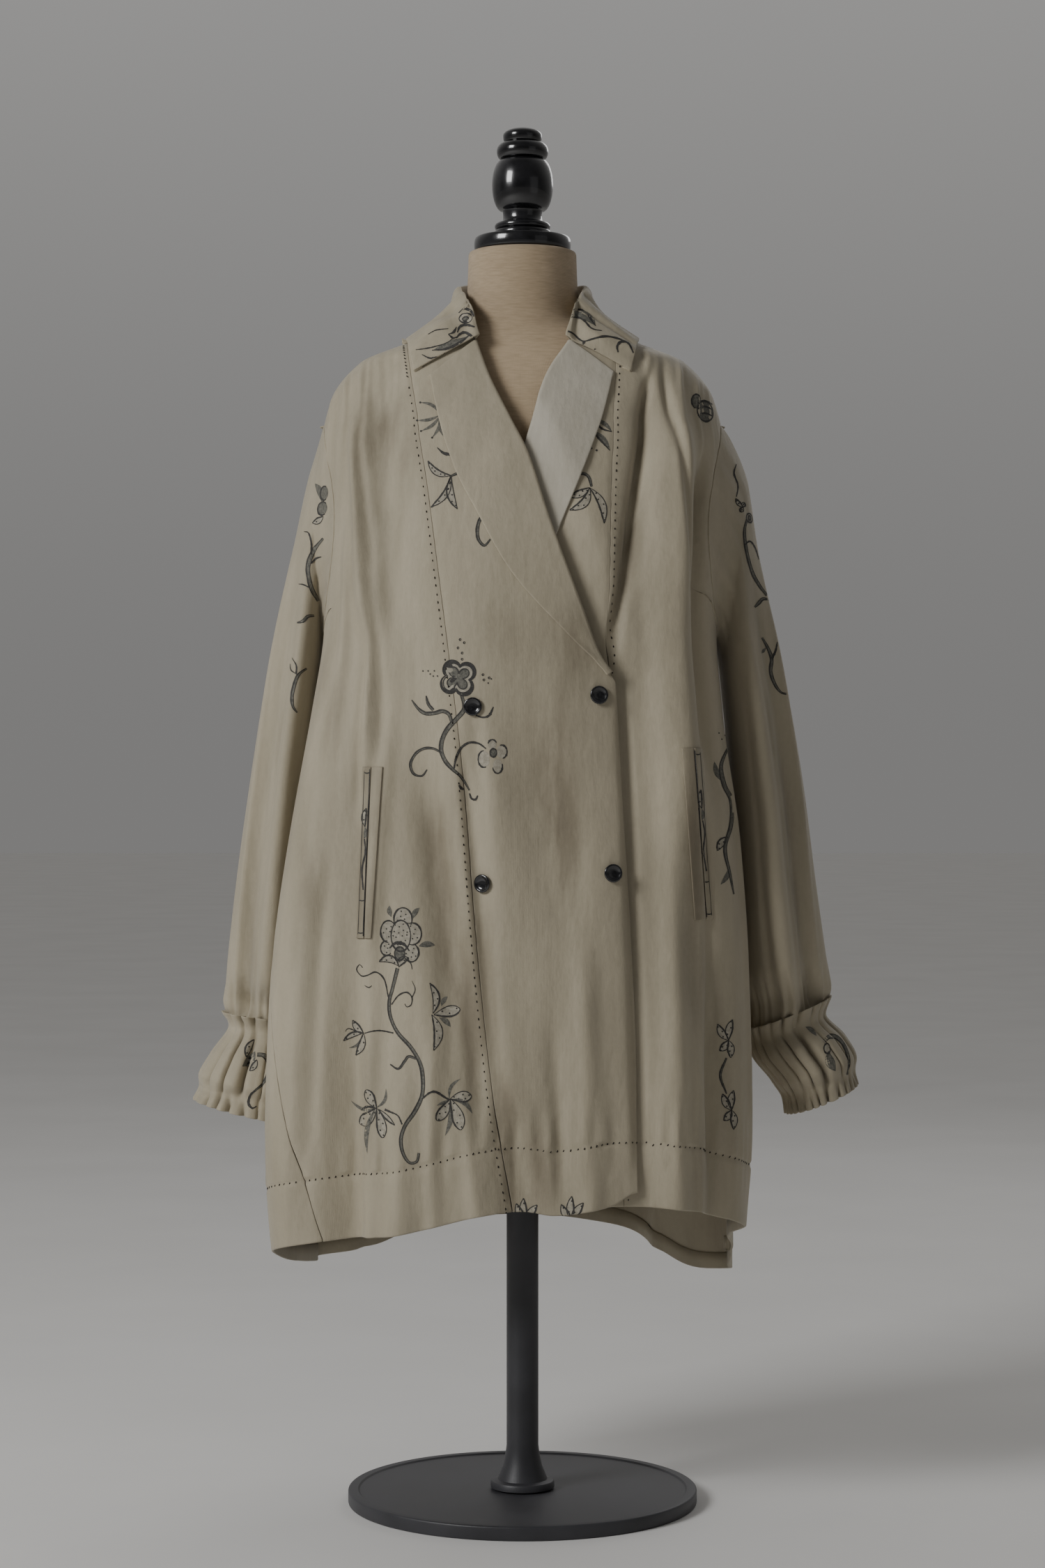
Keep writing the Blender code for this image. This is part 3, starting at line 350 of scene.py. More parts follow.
form_width = column_curve(FORM, "height", "half_width")
form_front = column_curve(FORM, "height", "front_depth")
form_back = column_curve(FORM, "height", "back_depth")
neck_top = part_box("form_torso")[1].z
heights = np.linspace(neck_top - NECK_ROUNDING, FORM[0].height, 150)
turns = np.linspace(-math.pi, math.pi, 121)
grid_turn, grid_height = np.meshgrid(turns, heights)
skin = form_point(grid_turn, grid_height)
shrink = 1.0 - NECK_ROUNDING / FORM[-1].half_width
cap = skin[:1] * (shrink, shrink, 1.0) + (0.0, 0.0, NECK_ROUNDING)
bend = skin[:1] * (1 - 0.3 * (1 - shrink), 1 - 0.3 * (1 - shrink), 1.0) + (0.0, 0.0, 0.7 * NECK_ROUNDING)
skin = np.concatenate([cap, bend, skin])[:, :-1]
down = np.concatenate([heights[:1] + 0.006, heights[:1] + 0.003, heights])
turn_length = 0.16 * np.broadcast_to(turns, (len(down), len(turns)))
weave = np.stack([turn_length, np.broadcast_to(down[:, None], turn_length.shape)], axis=-1)
torso = add_object("linen_torso", sheet_mesh("linen_torso", skin, weave, looped=True))
closing = bmesh.new()
closing.from_mesh(torso.data)
bmesh.ops.holes_fill(closing, edges=[edge for edge in closing.edges if edge.is_boundary])
bmesh.ops.recalc_face_normals(closing, faces=closing.faces)
closing.to_mesh(torso.data)
closing.free()
torso.data.set_sharp_from_angle(angle=math.radians(50))
torso.data.materials.append(linen_cloth("cream_linen"))
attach(torso, "root")
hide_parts("form_torso")

# The finial
# Turned hardwood on a flat disc that closes the neck: rings, a waist, a bulb and a knob, all
# lacquered gloss black.
Bead = namedtuple("Bead", "name height radius foot waist squareness")
FINIAL = table(
    Bead,
    ("disc", 0.0147, 0.0487, 0.0440, 0.0440, 5.0),
    ("lower ring", 0.0074, 0.0287, 0.0250, 0.0250, 3.0),
    ("upper ring", 0.0073, 0.0280, 0.0250, 0.0225, 3.0),
    ("waist", 0.0119, 0.0196, 0.0225, 0.0205, 2.0),
    ("bulb", 0.0518, 0.0308, 0.0205, 0.0205, 2.0),
    ("collar ring", 0.0168, 0.0260, 0.0205, 0.0175, 2.4),
    ("knob", 0.0147, 0.0196, 0.0175, 0.0030, 2.0))
BEAD_RINGS = 14
LACQUER_BLACK = (0.006, 0.006, 0.007)


def lacquer(name, dust_scale):
    """Black lacquer with a clear coat and faint dust in its gloss."""
    finish, tree, shader = new_finish(name, 0.2)
    shader.inputs["Coat Weight"].default_value = 0.7
    shader.inputs["Coat Roughness"].default_value = 0.06
    dust = add_noise(tree, add_node(tree, "TexCoord", {}).outputs["Object"], dust_scale, 6.0)
    lighter = tuple(3.0 * part for part in LACQUER_BLACK)
    add_colour(tree, shader, dust, [(0.45, LACQUER_BLACK), (0.75, lighter)])
    add_roughness(tree, shader, dust, 0.10, 0.34)
    return finish


finial_rings = []
reached = 0.0
for bead in FINIAL:
    for i in range(BEAD_RINGS + 1):
        angle = -math.pi / 2 + math.pi * i / BEAD_RINGS
        narrow = bead.foot if angle < 0.0 else bead.waist
        radius = narrow + (bead.radius - narrow) * abs(math.cos(angle)) ** (2 / bead.squareness)
        level = reached + bead.height * (0.5 + 0.5 * math.sin(angle))
        if not finial_rings or math.dist((level, radius), finial_rings[-1]) > 0.0002:
            finial_rings.append(Turned(level, radius))
    reached += bead.height
finial = turned_piece("turned_finial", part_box("form_finial")[0].z, finial_rings, 96)
finial.data.materials.append(lacquer("gloss_black_lacquer", 60.0))
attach(finial, "root")
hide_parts("form_finial")

# The back
# One wide panel of washed silk, hung from the shoulders and flared to the hem. Its side and
# shoulder seams are pressed open inside, and its deep hem is turned up and run in by hand.
CLOTH = 0.0015            # wall of the silk with its backing, which sets the lay of pieces on it
SILK_WALL = 0.0009        # thickness of the silk itself
SEAM_SPACE = 0.0012       # space between the flat parts of two panels, filled by their rolls
COLUMN = 0.28             # about how wide one column of the body is
ROUNDNESS = 2.3           # power of the superellipse that the body's rings follow
NECKLINE = 1.188
STRAIGHT_ABOVE = 1.000    # above it the columns run straight up to the shoulder ridge
ARMHOLE_BOTTOM = 0.865
TOP_SHARE = 0.3           # share of a panel's rows that crowd towards its top
ARMHOLE_CUT = 0.27        # how far the armhole is cut into the front and back, in columns
ARMHOLE_POINT = 0.02      # how pointed the armhole's lower end is
SEAM_ROLL = 0.0006
SEAM_FLAP = 0.005
SEAM_ROWS = 5             # rows that turn_under adds to a grid at a seam
FREE_ROWS = 7             # rows that it adds at a free edge
STEADY_ROWS = 2           # rows at a panel's pointed corners that roll as the next one does
DIP_DEPTH = 0.0005        # how deep a seam sinks, and how far from it the cloth follows
DIP_REACH = 0.003
HEM_DEPTH = 0.060
HEM_ROLL = 0.0012
HEM_FLAP = 0.012
PANEL_SEAMS = (("first", (0, 0)), ("last", (0, 0)), ("top", (SEAM_ROWS, SEAM_ROWS)))
BODY_RINGS = table(
    Section, (1.190, 0.066, 0.062, 0.062), (1.162, 0.115, 0.071, 0.067), (1.142, 0.163, 0.078, 0.072),
    (1.105, 0.192, 0.092, 0.085), (1.055, 0.202, 0.110, 0.100), (1.000, 0.199, 0.122, 0.110),
    (0.950, 0.197, 0.132, 0.118), (0.865, 0.193, 0.138, 0.124), (0.800, 0.197, 0.142, 0.130),
    (0.660, 0.207, 0.150, 0.145), (0.540, 0.2135, 0.157, 0.160), (0.380, 0.2175, 0.165, 0.177),
    (0.220, 0.2185, 0.170, 0.185))
Fold = namedtuple("Fold", "name column_top column_end top full fade end half_width depth")
FOLDS = table(
    Fold,
    ("side bulge right", -0.68, -0.76, 1.08, 0.48, 0.40, -0.10, 0.220, 0.0530),
    ("side bulge left", 0.70, 0.72, 1.08, 0.55, 0.45, 0.00, 0.200, 0.0180),
    ("chest ridge right", -0.57, -0.50, 1.14, 1.04, 0.93, 0.83, 0.050, 0.0137),
    ("pocket ridge right", -0.49, -0.47, 0.96, 0.88, 0.78, 0.70, 0.040, 0.0100),
    ("seam valley right", -0.31, -0.06, 0.78, 0.66, 0.46, 0.34, 0.060, -0.0125),
    ("front swell", -0.02, 0.12, 0.84, 0.70, 0.66, 0.52, 0.080, -0.0088),
    ("hem valley front", -0.02, 0.04, 0.44, 0.33, 0.10, 0.00, 0.055, -0.0112),
    ("hem ridge right", -0.30, -0.34, 0.52, 0.34, 0.10, 0.00, 0.070, 0.0150),
    ("skirt valley right", -0.50, -0.52, 0.60, 0.40, 0.10, 0.00, 0.070, -0.0175),
    ("chest valley left", 0.40, 0.28, 1.13, 1.07, 0.95, 0.84, 0.045, -0.0065),
    ("chest ridge left", 0.52, 0.51, 1.13, 1.03, 0.74, 0.56, 0.070, 0.0175),
    ("deep valley left", 0.66, 0.64, 1.06, 1.00, 0.80, 0.68, 0.045, -0.0125),
    ("skirt valley left", 0.62, 0.60, 0.62, 0.42, 0.10, 0.00, 0.060, -0.0125),
    ("hem ridge left", 0.42, 0.44, 0.60, 0.36, 0.10, 0.00, 0.070, 0.0125),
    ("side valley left", 0.98, 1.00, 0.80, 0.46, 0.10, 0.00, 0.080, -0.0125),
    ("back fold a", 1.30, 1.34, 0.86, 0.42, 0.10, 0.00, 0.090, 0.0250),
    ("back fold b", 1.66, 1.72, 0.94, 0.44, 0.10, 0.00, 0.085, 0.0225),
    ("back valley", 1.98, 2.00, 1.02, 0.46, 0.10, 0.00, 0.080, -0.0175),
    ("back fold c", 2.30, 2.24, 0.94, 0.44, 0.10, 0.00, 0.085, 0.0225),
    ("back fold d", 2.68, 2.66, 0.86, 0.42, 0.10, 0.00, 0.090, 0.0250),
    ("right crease a", -0.63, -0.60, 1.01, 0.92, 0.80, 0.70, 0.023, 0.0046),
    ("right crease b", -0.575, -0.42, 1.13, 1.06, 0.86, 0.72, 0.026, -0.0088),
    ("right crease c", -0.40, -0.44, 0.82, 0.73, 0.60, 0.50, 0.028, 0.0046),
    ("right crease d", -0.57, -0.63, 0.68, 0.57, 0.38, 0.20, 0.023, -0.0053),
    ("right crease e", -0.43, -0.42, 0.56, 0.46, 0.20, 0.10, 0.032, 0.0063),
    ("right crease f", -0.23, -0.20, 0.50, 0.42, 0.20, 0.10, 0.025, 0.0046),
    ("right crease g", -0.52, -0.50, 0.90, 0.84, 0.74, 0.66, 0.018, -0.0042),
    ("centre crease a", -0.13, -0.06, 0.82, 0.74, 0.60, 0.50, 0.025, -0.0042),
    ("centre crease b", 0.14, 0.18, 0.60, 0.50, 0.20, 0.10, 0.034, 0.0049),
    ("centre crease c", -0.17, -0.09, 0.56, 0.47, 0.34, 0.26, 0.025, 0.0042),
    ("centre crease d", 0.06, 0.09, 0.52, 0.44, 0.36, 0.28, 0.023, -0.0035),
    ("left crease a", 0.450, 0.62, 1.14, 1.09, 0.92, 0.84, 0.020, -0.0060),
    ("left crease b", 0.58, 0.60, 0.74, 0.64, 0.42, 0.30, 0.023, -0.0049),
    ("left crease c", 0.29, 0.31, 0.86, 0.76, 0.42, 0.30, 0.022, -0.0060),
    ("chest crease left", 0.405, 0.255, 1.14, 1.10, 0.90, 0.82, 0.019, -0.0078),
    ("left tube", 0.43, 0.44, 1.10, 1.00, 0.50, 0.36, 0.050, 0.0055),
    ("chest hollow right", -0.45, -0.42, 1.12, 1.05, 0.95, 0.84, 0.070, -0.0050),
    ("seam crease", -0.165, -0.015, 0.80, 0.70, 0.45, 0.33, 0.020, -0.0058),
    ("left crease d", 0.52, 0.53, 0.50, 0.40, 0.20, 0.10, 0.028, 0.0053),
    ("left crease e", 0.80, 0.84, 0.80, 0.66, 0.40, 0.24, 0.030, 0.0053),
    ("back crease a", 1.16, 1.12, 0.80, 0.66, 0.40, 0.20, 0.030, -0.0053),
    ("back crease b", 1.46, 1.52, 0.96, 0.80, 0.50, 0.30, 0.028, 0.0053),
    ("back crease c", 1.57, 1.60, 0.62, 0.48, 0.20, 0.10, 0.028, -0.0056),
    ("back crease d", 1.83, 1.86, 1.10, 0.98, 0.70, 0.50, 0.025, 0.0042),
    ("back crease e", 2.11, 2.12, 0.90, 0.74, 0.46, 0.30, 0.030, 0.0053),
    ("back crease f", 2.42, 2.38, 1.04, 0.88, 0.60, 0.40, 0.025, -0.0046),
    ("back crease g", 2.53, 2.50, 0.62, 0.48, 0.20, 0.10, 0.030, 0.0059),
    ("back crease h", 2.85, 2.88, 0.80, 0.64, 0.40, 0.20, 0.028, 0.0046))
Gathers = namedtuple("Gathers", "name first last waves rise reach depth")
GATHERS = table(
    Gathers,
    ("right shoulder", -0.82, -0.42, 4, 0.020, 0.170, 0.0034),
    ("left shoulder", 0.36, 0.80, 4, 0.020, 0.170, 0.0034),
    ("right shoulder, small", -0.86, -0.36, 11, 0.010, 0.080, 0.0012),
    ("left shoulder, small", 0.31, 0.86, 11, 0.010, 0.080, 0.0012),
    ("back right shoulder", 2.20, 2.78, 8, 0.005, 0.080, 0.0018),
    ("back left shoulder", 1.22, 1.80, 8, 0.005, 0.080, 0.0018))
Hem = namedtuple("Hem", "column height")
HEM = table(
    Hem, (-2.00, 0.268), (-1.75, 0.256), (-1.50, 0.236), (-1.30, 0.230), (-1.10, 0.236), (-0.95, 0.246),
    (-0.80, 0.262), (-0.52, 0.282), (-0.35, 0.288), (-0.20, 0.299), (-0.09, 0.3085), (0.00, 0.312),
    (0.06, 0.309), (0.24, 0.3165), (0.50, 0.309), (0.75, 0.290), (0.95, 0.274), (1.10, 0.250),
    (1.25, 0.222), (1.40, 0.2156), (1.60, 0.235), (1.80, 0.257), (2.00, 0.268))
Side = namedtuple("Side", "height column")
RIGHT_SIDE = (Side(0.865, -1.00), Side(0.700, -0.90), Side(0.500, -0.74), Side(0.280, -0.58))
LEFT_SIDE = (Side(0.865, 1.00), Side(0.600, 1.02), Side(0.250, 1.12))
Stain = namedtuple("Stain", "x z half_width half_height lean strength")
# Tea stains on the front; some of them, along fold valleys and the chest's hollows, are painted shade.
FRONT_STAINS_AND_SHADE = table(
    Stain, (-0.139, 1.063, 0.027, 0.043, 0.0, 0.33), (-0.144, 0.996, 0.021, 0.037, 0.1, 0.21),
    (-0.020, 0.863, 0.021, 0.030, 0.0, 0.19), (0.049, 0.858, 0.024, 0.037, 0.2, 0.31),
    (0.100, 0.968, 0.018, 0.056, 0.1, 0.25), (0.032, 0.750, 0.017, 0.062, 0.1, 0.31),
    (0.044, 0.665, 0.018, 0.069, 0.2, 0.31), (-0.072, 0.668, 0.015, 0.065, 0.1, 0.22),
    (-0.189, 0.801, 0.012, 0.056, 0.0, 0.21), (-0.204, 0.650, 0.012, 0.056, 0.0, 0.19),
    (0.158, 0.677, 0.012, 0.048, 0.0, 0.29), (0.163, 0.593, 0.012, 0.060, 0.0, 0.29),
    (-0.020, 0.403, 0.030, 0.043, 0.1, 0.31), (-0.020, 0.334, 0.021, 0.045, 0.0, 0.22),
    (-0.059, 0.542, 0.018, 0.048, 0.1, 0.21), (0.160, 0.487, 0.042, 0.053, 0.0, 0.21),
    (0.013, 0.348, 0.018, 0.040, 0.0, 0.21), (-0.150, 0.420, 0.021, 0.075, 0.1, 0.17),
    (0.085, 0.400, 0.018, 0.062, 0.0, 0.14), (-0.110, 0.830, 0.015, 0.050, 0.1, 0.14))
BACK_STAINS = table(
    Stain, (-0.090, 1.040, 0.027, 0.050, 0.1, 0.25), (0.030, 0.960, 0.021, 0.075, -0.1, 0.19),
    (0.130, 0.900, 0.021, 0.056, 0.1, 0.27), (-0.140, 0.800, 0.018, 0.075, 0.0, 0.22),
    (0.010, 0.760, 0.024, 0.069, 0.1, 0.25), (0.100, 0.650, 0.018, 0.088, -0.1, 0.21),
    (-0.070, 0.600, 0.021, 0.075, 0.1, 0.27), (0.160, 0.500, 0.027, 0.062, 0.0, 0.21),
    (0.020, 0.440, 0.027, 0.062, 0.0, 0.25), (-0.150, 0.420, 0.021, 0.075, 0.1, 0.22),
    (-0.060, 0.330, 0.030, 0.044, 0.0, 0.22), (0.110, 0.320, 0.021, 0.050, 0.0, 0.19))
IVORY = (0.492, 0.434, 0.316)
TEA_LIGHT = (0.397, 0.349, 0.251)
# The darker colours stand in strong stains and in the painted shade of the fold valleys.
TEA_AND_SHADE_DARK = (0.238, 0.201, 0.136)
TEA_AND_SHADE_DEEPEST = (0.146, 0.120, 0.080)
MOST_TEA_AND_SHADE = 1.3            # the most that the tea washes and the painted shade of the folds can add up to
VALLEY_SHADE = 24.0         # painted shade in a fold valley for each metre that the fold lies deep
# the most painted shade that a fold valley takes
MOST_VALLEY_SHADE = 0.3


def add_sum(tree, terms):
    """The sum of sockets, each times its own factor."""
    total = 0.0
    for socket, factor in terms:
        step = add_node(tree, "Math", {0: socket, 1: factor, 2: total}, operation="MULTIPLY_ADD")
        total = step.outputs[0]
    return total


def silk_cloth(name, clean, washed):
    """Plain-woven silk with tea-coloured clouding and stains, painted shade in its fold valleys, crinkle
    and a low sheen.
    """
    finish, tree, shader = new_finish(name, 0.6)
    shader.inputs["Sheen Weight"].default_value = 0.25
    shader.inputs["Sheen Roughness"].default_value = 0.45
    place = add_node(tree, "TexCoord", {}).outputs["Object"]
    # The attribute holds the tea stains and the painted shade of the fold valleys.
    tea_and_shade = add_node(tree, "Attribute", {}, attribute_name="tea_and_shade").outputs["Fac"]
    cloud = add_stretched_noise(tree, place, (9.0, 9.0, 4.0), 6.0)
    streak = add_stretched_noise(tree, place, (46.0, 46.0, 7.0), 5.0)
    fleck = add_noise(tree, place, 210.0, 3.0)
    broken = add_node(tree, "MapRange", {"Value": streak, "From Min": 0.38, "From Max": 0.62})
    patchy = add_node(tree, "Math", {0: tea_and_shade, 1: broken.outputs["Result"]}, operation="MULTIPLY")
    amount = add_sum(tree, [(tea_and_shade, 0.30), (patchy.outputs[0], 0.65), (cloud, 0.62), (streak, 0.30),
                            (fleck, 0.10)])
    scaled = add_node(tree, "Math", {0: amount, 1: MOST_TEA_AND_SHADE}, operation="DIVIDE")
    stops = [(0.40, clean), (0.60, washed), (0.92, TEA_AND_SHADE_DARK), (1.20, TEA_AND_SHADE_DEEPEST)]
    add_colour(tree, shader, scaled.outputs[0], [(at / MOST_TEA_AND_SHADE, colour) for at, colour in stops])
    add_roughness(tree, shader, streak, 0.50, 0.72)
    crinkles = add_stretched_noise(tree, place, (150.0, 150.0, 60.0), 4.0)
    ripple = add_noise(tree, place, 32.0, 2.0)
    relief = add_sum(tree, [(add_weave(tree, 0.0006, 0.8), 0.00008), (crinkles, 0.0007), (ripple, 0.0016)])
    add_bump(tree, shader, relief, 1.0)
    return finish


def ridge_over(x):
    """Height of the shoulder ridge at a distance from the middle."""
    height = np.interp(np.abs(x), RIDGE_WIDTHS[::-1], RIDGE_HEIGHTS[::-1])
    return np.minimum(height, NECKLINE)


def ridge_height(column):
    """Height at which a column ends on the shoulder ridge or the neckline."""
    return ridge_over(FULL_WIDTH * np.abs(np.sin(column * math.pi / 2)) ** (2 / ROUNDNESS))


def wrapped(column):
    """The same column, between -2 and 2."""
    return (column + 2.0) % 4.0 - 2.0


def hem_tucks(column, height):
    """Small upright tucks that the hand-run hem line pulls into the cloth above and below it."""
    above = height - hem_height(wrapped(column))
    turn = math.pi / 2 * column
    waves = np.sin(66 * turn + 2.1 * np.sin(11 * turn)) + 0.6 * np.sin(83 * turn + 1.7 * np.sin(7 * turn))
    upper = smooth((above - HEM_DEPTH) / 0.004) * (1.0 - smooth((above - HEM_DEPTH - 0.006) / 0.055))
    lower = 0.5 * smooth((HEM_DEPTH - above) / 0.006) * (1.0 - smooth((HEM_DEPTH - above) / 0.050))
    line = np.exp(-((above - HEM_DEPTH) / 0.0022) ** 2)
    double = 0.0005 * smooth((HEM_DEPTH - above) / 0.003)
    return 0.0011 * waves * (upper + lower) - 0.0009 * line + double


def fold_lift(column, height):
    """How far the folds, gathers and tucks lift the cloth at a place."""
    lift = hem_tucks(column, height)
    for fold in FOLDS:
        way = np.clip((fold.top - height) / (fold.top - fold.end), 0.0, 1.0)
        away = wrapped(column - blend(fold.column_top, fold.column_end, way))
        growth = smooth((fold.top - height) / (fold.top - fold.full))
        growth = growth * smooth((height - fold.end) / (fold.fade - fold.end))
        lift = lift + fold.depth * growth * np.exp(-(away / fold.half_width) ** 2)
    below = ridge_height(column) - height
    for row in GATHERS:
        middle = (row.first + row.last) / 2
        along = (wrapped(column - middle) + (row.last - row.first) / 2) / (row.last - row.first)
        along = np.clip(along, 0.0, 1.0)
        phase = 2 * math.pi * row.waves * along + 0.8 * np.sin(9.0 * along * math.pi) * (along < 1.0)
        ends = smooth(along / 0.08) * smooth((1.0 - along) / 0.08)
        growth = smooth(below / row.rise) * (1.0 - smooth(below / row.reach))
        uneven = 0.65 + 0.35 * np.sin(19.0 * along + 3.0 * below / row.reach)
        lift = lift + row.depth * (0.5 - 0.5 * np.cos(phase)) * ends * growth * uneven
    return lift


def same_shape(first, second):
    """Two numbers or arrays, as two arrays of one shape."""
    return np.broadcast_arrays(np.asarray(first, float), np.asarray(second, float))


def unit(vectors):
    """Vectors made 1 long."""
    return vectors / np.maximum(np.linalg.norm(vectors, axis=-1, keepdims=True), 1e-9)


def wall_point(column, height):
    """Point of the body's folded surface."""
    column, height = same_shape(column, height)
    width = half_width(height)
    sine = np.sin(column * math.pi / 2)
    cosine = np.cos(column * math.pi / 2)
    spread = np.where(height > STRAIGHT_ABOVE, np.maximum(1.0, FULL_WIDTH / width), 1.0)
    across = np.minimum(np.abs(sine) * spread ** (ROUNDNESS / 2), 1.0)
    along = np.sqrt(1.0 - across ** 2)
    depth = np.where(cosine >= 0.0, front_depth(height), back_depth(height))
    x = np.sign(sine) * width * across ** (2 / ROUNDNESS)
    y = -np.sign(cosine) * depth * along ** (2 / ROUNDNESS)
    out_x = np.sign(sine) * across ** (2 - 2 / ROUNDNESS) / width
    out_y = -np.sign(cosine) * along ** (2 - 2 / ROUNDNESS) / depth
    scale = fold_lift(column, height) / np.sqrt(out_x ** 2 + out_y ** 2)
    return np.stack([x + out_x * scale, y + out_y * scale, height], axis=-1)


def body(column, height, out=0.0):
    """Point of the body's surface, moved outwards by a distance."""
    reach = 0.004
    column, height = same_shape(column, height)
    lower = np.minimum(height, ridge_height(column) - reach)
    across = wall_point(column + reach, lower) - wall_point(column - reach, lower)
    fall = wall_point(column, lower - reach) - wall_point(column, lower)
    out = np.broadcast_to(out, height.shape)[..., None]
    return wall_point(column, height) + unit(np.cross(fall, across)) * out


def armhole(height):
    """Half width of the armhole's cut at a height, in columns."""
    way = np.clip((height - ARMHOLE_BOTTOM) / (ARMHOLE_TOP - ARMHOLE_BOTTOM), 0.0, 1.0)
    point = ARMHOLE_POINT * (1.0 - smooth(way))
    width = np.sqrt(4.0 * way * (1.0 - way) + point) - np.sqrt(point)
    return ARMHOLE_CUT * width / (np.sqrt(1.0 + point) - np.sqrt(point))


def down_the_panel(share):
    """Rows lie closer together near a panel's top, where its shape turns."""
    even = TOP_SHARE ** 2
    steep = 1.0 / (2 * TOP_SHARE - even)
    return np.where(share < TOP_SHARE, steep * share ** 2, steep * (2 * TOP_SHARE * share - even))


def armhole_end(hem):
    """Share of a panel's rows above the end of its armhole, from the side seam's lower end."""
    below = (ARMHOLE_TOP - ARMHOLE_BOTTOM) / (ARMHOLE_TOP - hem)
    return (below * (2 * TOP_SHARE - TOP_SHARE ** 2) + TOP_SHARE ** 2) / (2 * TOP_SHARE)


def panel(top_columns, top_heights, left, right, share_across, share_down):
    """Columns and heights of a panel between its top edge, two side edges and the hem."""
    start = float(top_heights(0.0))
    stop = float(top_heights(1.0))

    def foot(edge):
        height = 0.30
        for _ in range(6):
            height = float(hem_height(wrapped(edge(height))))
        return float(edge(height)), height

    left_foot, left_hem = foot(left)
    right_foot, right_hem = foot(right)
    below = down_the_panel(share_down)
    bottom = hem_height(wrapped(blend(left_foot, right_foot, share_across)))
    height = blend(top_heights(share_across), bottom, below)
    left_column = left(blend(start, left_hem, below))
    right_column = right(blend(stop, right_hem, below))
    shift = top_columns(share_across) - blend(float(left(start)), float(right(stop)), share_across)
    column = blend(left_column, right_column, share_across)
    return column + shift * (1.0 - smooth(share_down / 0.6)), height


def inset(share, column):
    """Draw a panel in at its two sides, to leave space for the seams."""
    half_space = SEAM_SPACE / 2 / COLUMN
    return column + half_space * (np.exp(-share * 60) - np.exp(-(1.0 - share) * 60))


def off_the_ridge(points, side):
    """Keep a front or back clear of the shoulder seam."""
    clear = side * np.maximum(side * points[..., 1], SEAM_SPACE / 2)
    points[..., 1] = np.where(points[..., 2] > ARMHOLE_TOP - 0.01, clear, points[..., 1])
    return points


def stations(length, cell, fine_at=(), fine=0.0014, reach=0.014, finest_at=()):
    """Shares of a length, about one cell apart and closer together near some places."""
    at = np.linspace(0.0, length, 9001)
    size = np.full(at.shape, float(cell))
    for place in fine_at:
        size = np.minimum(size, blend(fine, cell, smooth(np.abs(at - place) / reach)))
    for place in finest_at:
        size = np.minimum(size, blend(0.0008, cell, smooth(np.abs(at - place) / 0.012)))
    steps = np.concatenate([[0.0], np.cumsum(2.0 / (size[1:] + size[:-1]) * np.diff(at))])
    count = int(round(steps[-1]))
    return np.interp(np.linspace(0.0, steps[-1], count + 1), steps, at) / length


def outward(points):
    """Unit normals of a grid of points, on the outer side."""
    return unit(np.cross(np.gradient(points, axis=0), np.gradient(points, axis=1)))


def run_length(points, axis=0):
    """How far each point of a line or a grid lies along it."""
    steps = np.linalg.norm(np.diff(points, axis=axis), axis=-1)
    start = np.zeros_like(np.take(steps, [0], axis=axis))
    return np.concatenate([start, np.cumsum(steps, axis=axis)], axis=axis)


def edge_last(grid, edge):
    """A view of a grid in which one of its edges is the last row."""
    rows = grid.swapaxes(0, 1) if edge in ("first", "last") else grid
    return rows[::-1] if edge in ("top", "first") else rows


def turn_under(points, edge, roll, flap, half=False, turned=(0, 0), steady=0):
    """Roll an edge of a grid in: a quarter turn for a seam, or a half turn for a free edge.

    The lines turned in before, at the edge's start and end, roll as the cloth beside them does,
    and so do a few steady lines of a panel's corner, where two edges meet at a sharp point.
    """
    rows = edge_last(points, edge)
    start, stop = turned
    whole = slice(start, rows.shape[1] - stop)
    pad = ((0, 0), (start, stop), (0, 0))
    normals = edge_last(outward(points), edge)[:, whole]
    off = np.cross(np.gradient(rows[-1, whole], axis=0), normals[-1])
    if steady:
        for lines in (normals.swapaxes(0, 1), off):
            lines[:steady] = lines[steady]
            lines[-steady:] = lines[-steady - 1]
    normals = np.pad(normals, pad, mode="edge")
    off = off * np.sign(np.median(np.sum(off * (rows[-1] - rows[-3])[whole], axis=-1)))
    off = np.pad(unit(off), pad[1:], mode="edge")
    added = []
    for angle in np.radians((36, 72, 108, 144, 180) if half else (30, 60, 90)):
        added.append(rows[-1] + roll * (math.sin(angle) * off - (1.0 - math.cos(angle)) * normals[-1]))
    steps = np.median(np.linalg.norm(np.diff(rows[::-1], axis=0), axis=-1), axis=1)
    for part in (0.4, 1.0):
        k = -2 - int(np.searchsorted(np.cumsum(steps), part * flap))
        added.append(rows[k] - 2 * roll * normals[k] if half else added[2] - normals[-1] * flap * part)
    rows = np.concatenate([rows, np.stack(added)])
    rows = rows[::-1] if edge in ("top", "first") else rows
    return rows.swapaxes(0, 1) if edge in ("first", "last") else rows


def seam_dip(points, edge):
    """Sink the cloth a little along a seam, unevenly, as stitches pull it in."""
    rows = edge_last(points, edge)[::-1]
    normal = edge_last(outward(points), edge)[::-1]
    away = run_length(rows)
    along = run_length(rows[0])
    pull = 1.0 + 0.5 * np.sin(along / 0.0036 + 2.0 * np.sin(along / 0.021))
    fade = np.exp(-(away / DIP_REACH) ** 2)
    fade = fade + 0.5 * (pull - 1.0) * np.exp(-(away / (3 * DIP_REACH)) ** 2)
    rows -= (DIP_DEPTH * fade)[..., None] * normal
    return points


def sewn_panel(points):
    """A panel with a seam at its top and both sides, and a free hem."""
    for edge, _ in PANEL_SEAMS:
        points = seam_dip(points, edge)
    for edge, turned in PANEL_SEAMS:
        points = turn_under(points, edge, SEAM_ROLL, SEAM_FLAP, turned=turned, steady=STEADY_ROWS)
    return turn_under(points, "hem", HEM_ROLL, HEM_FLAP, half=True, turned=(SEAM_ROWS, SEAM_ROWS))


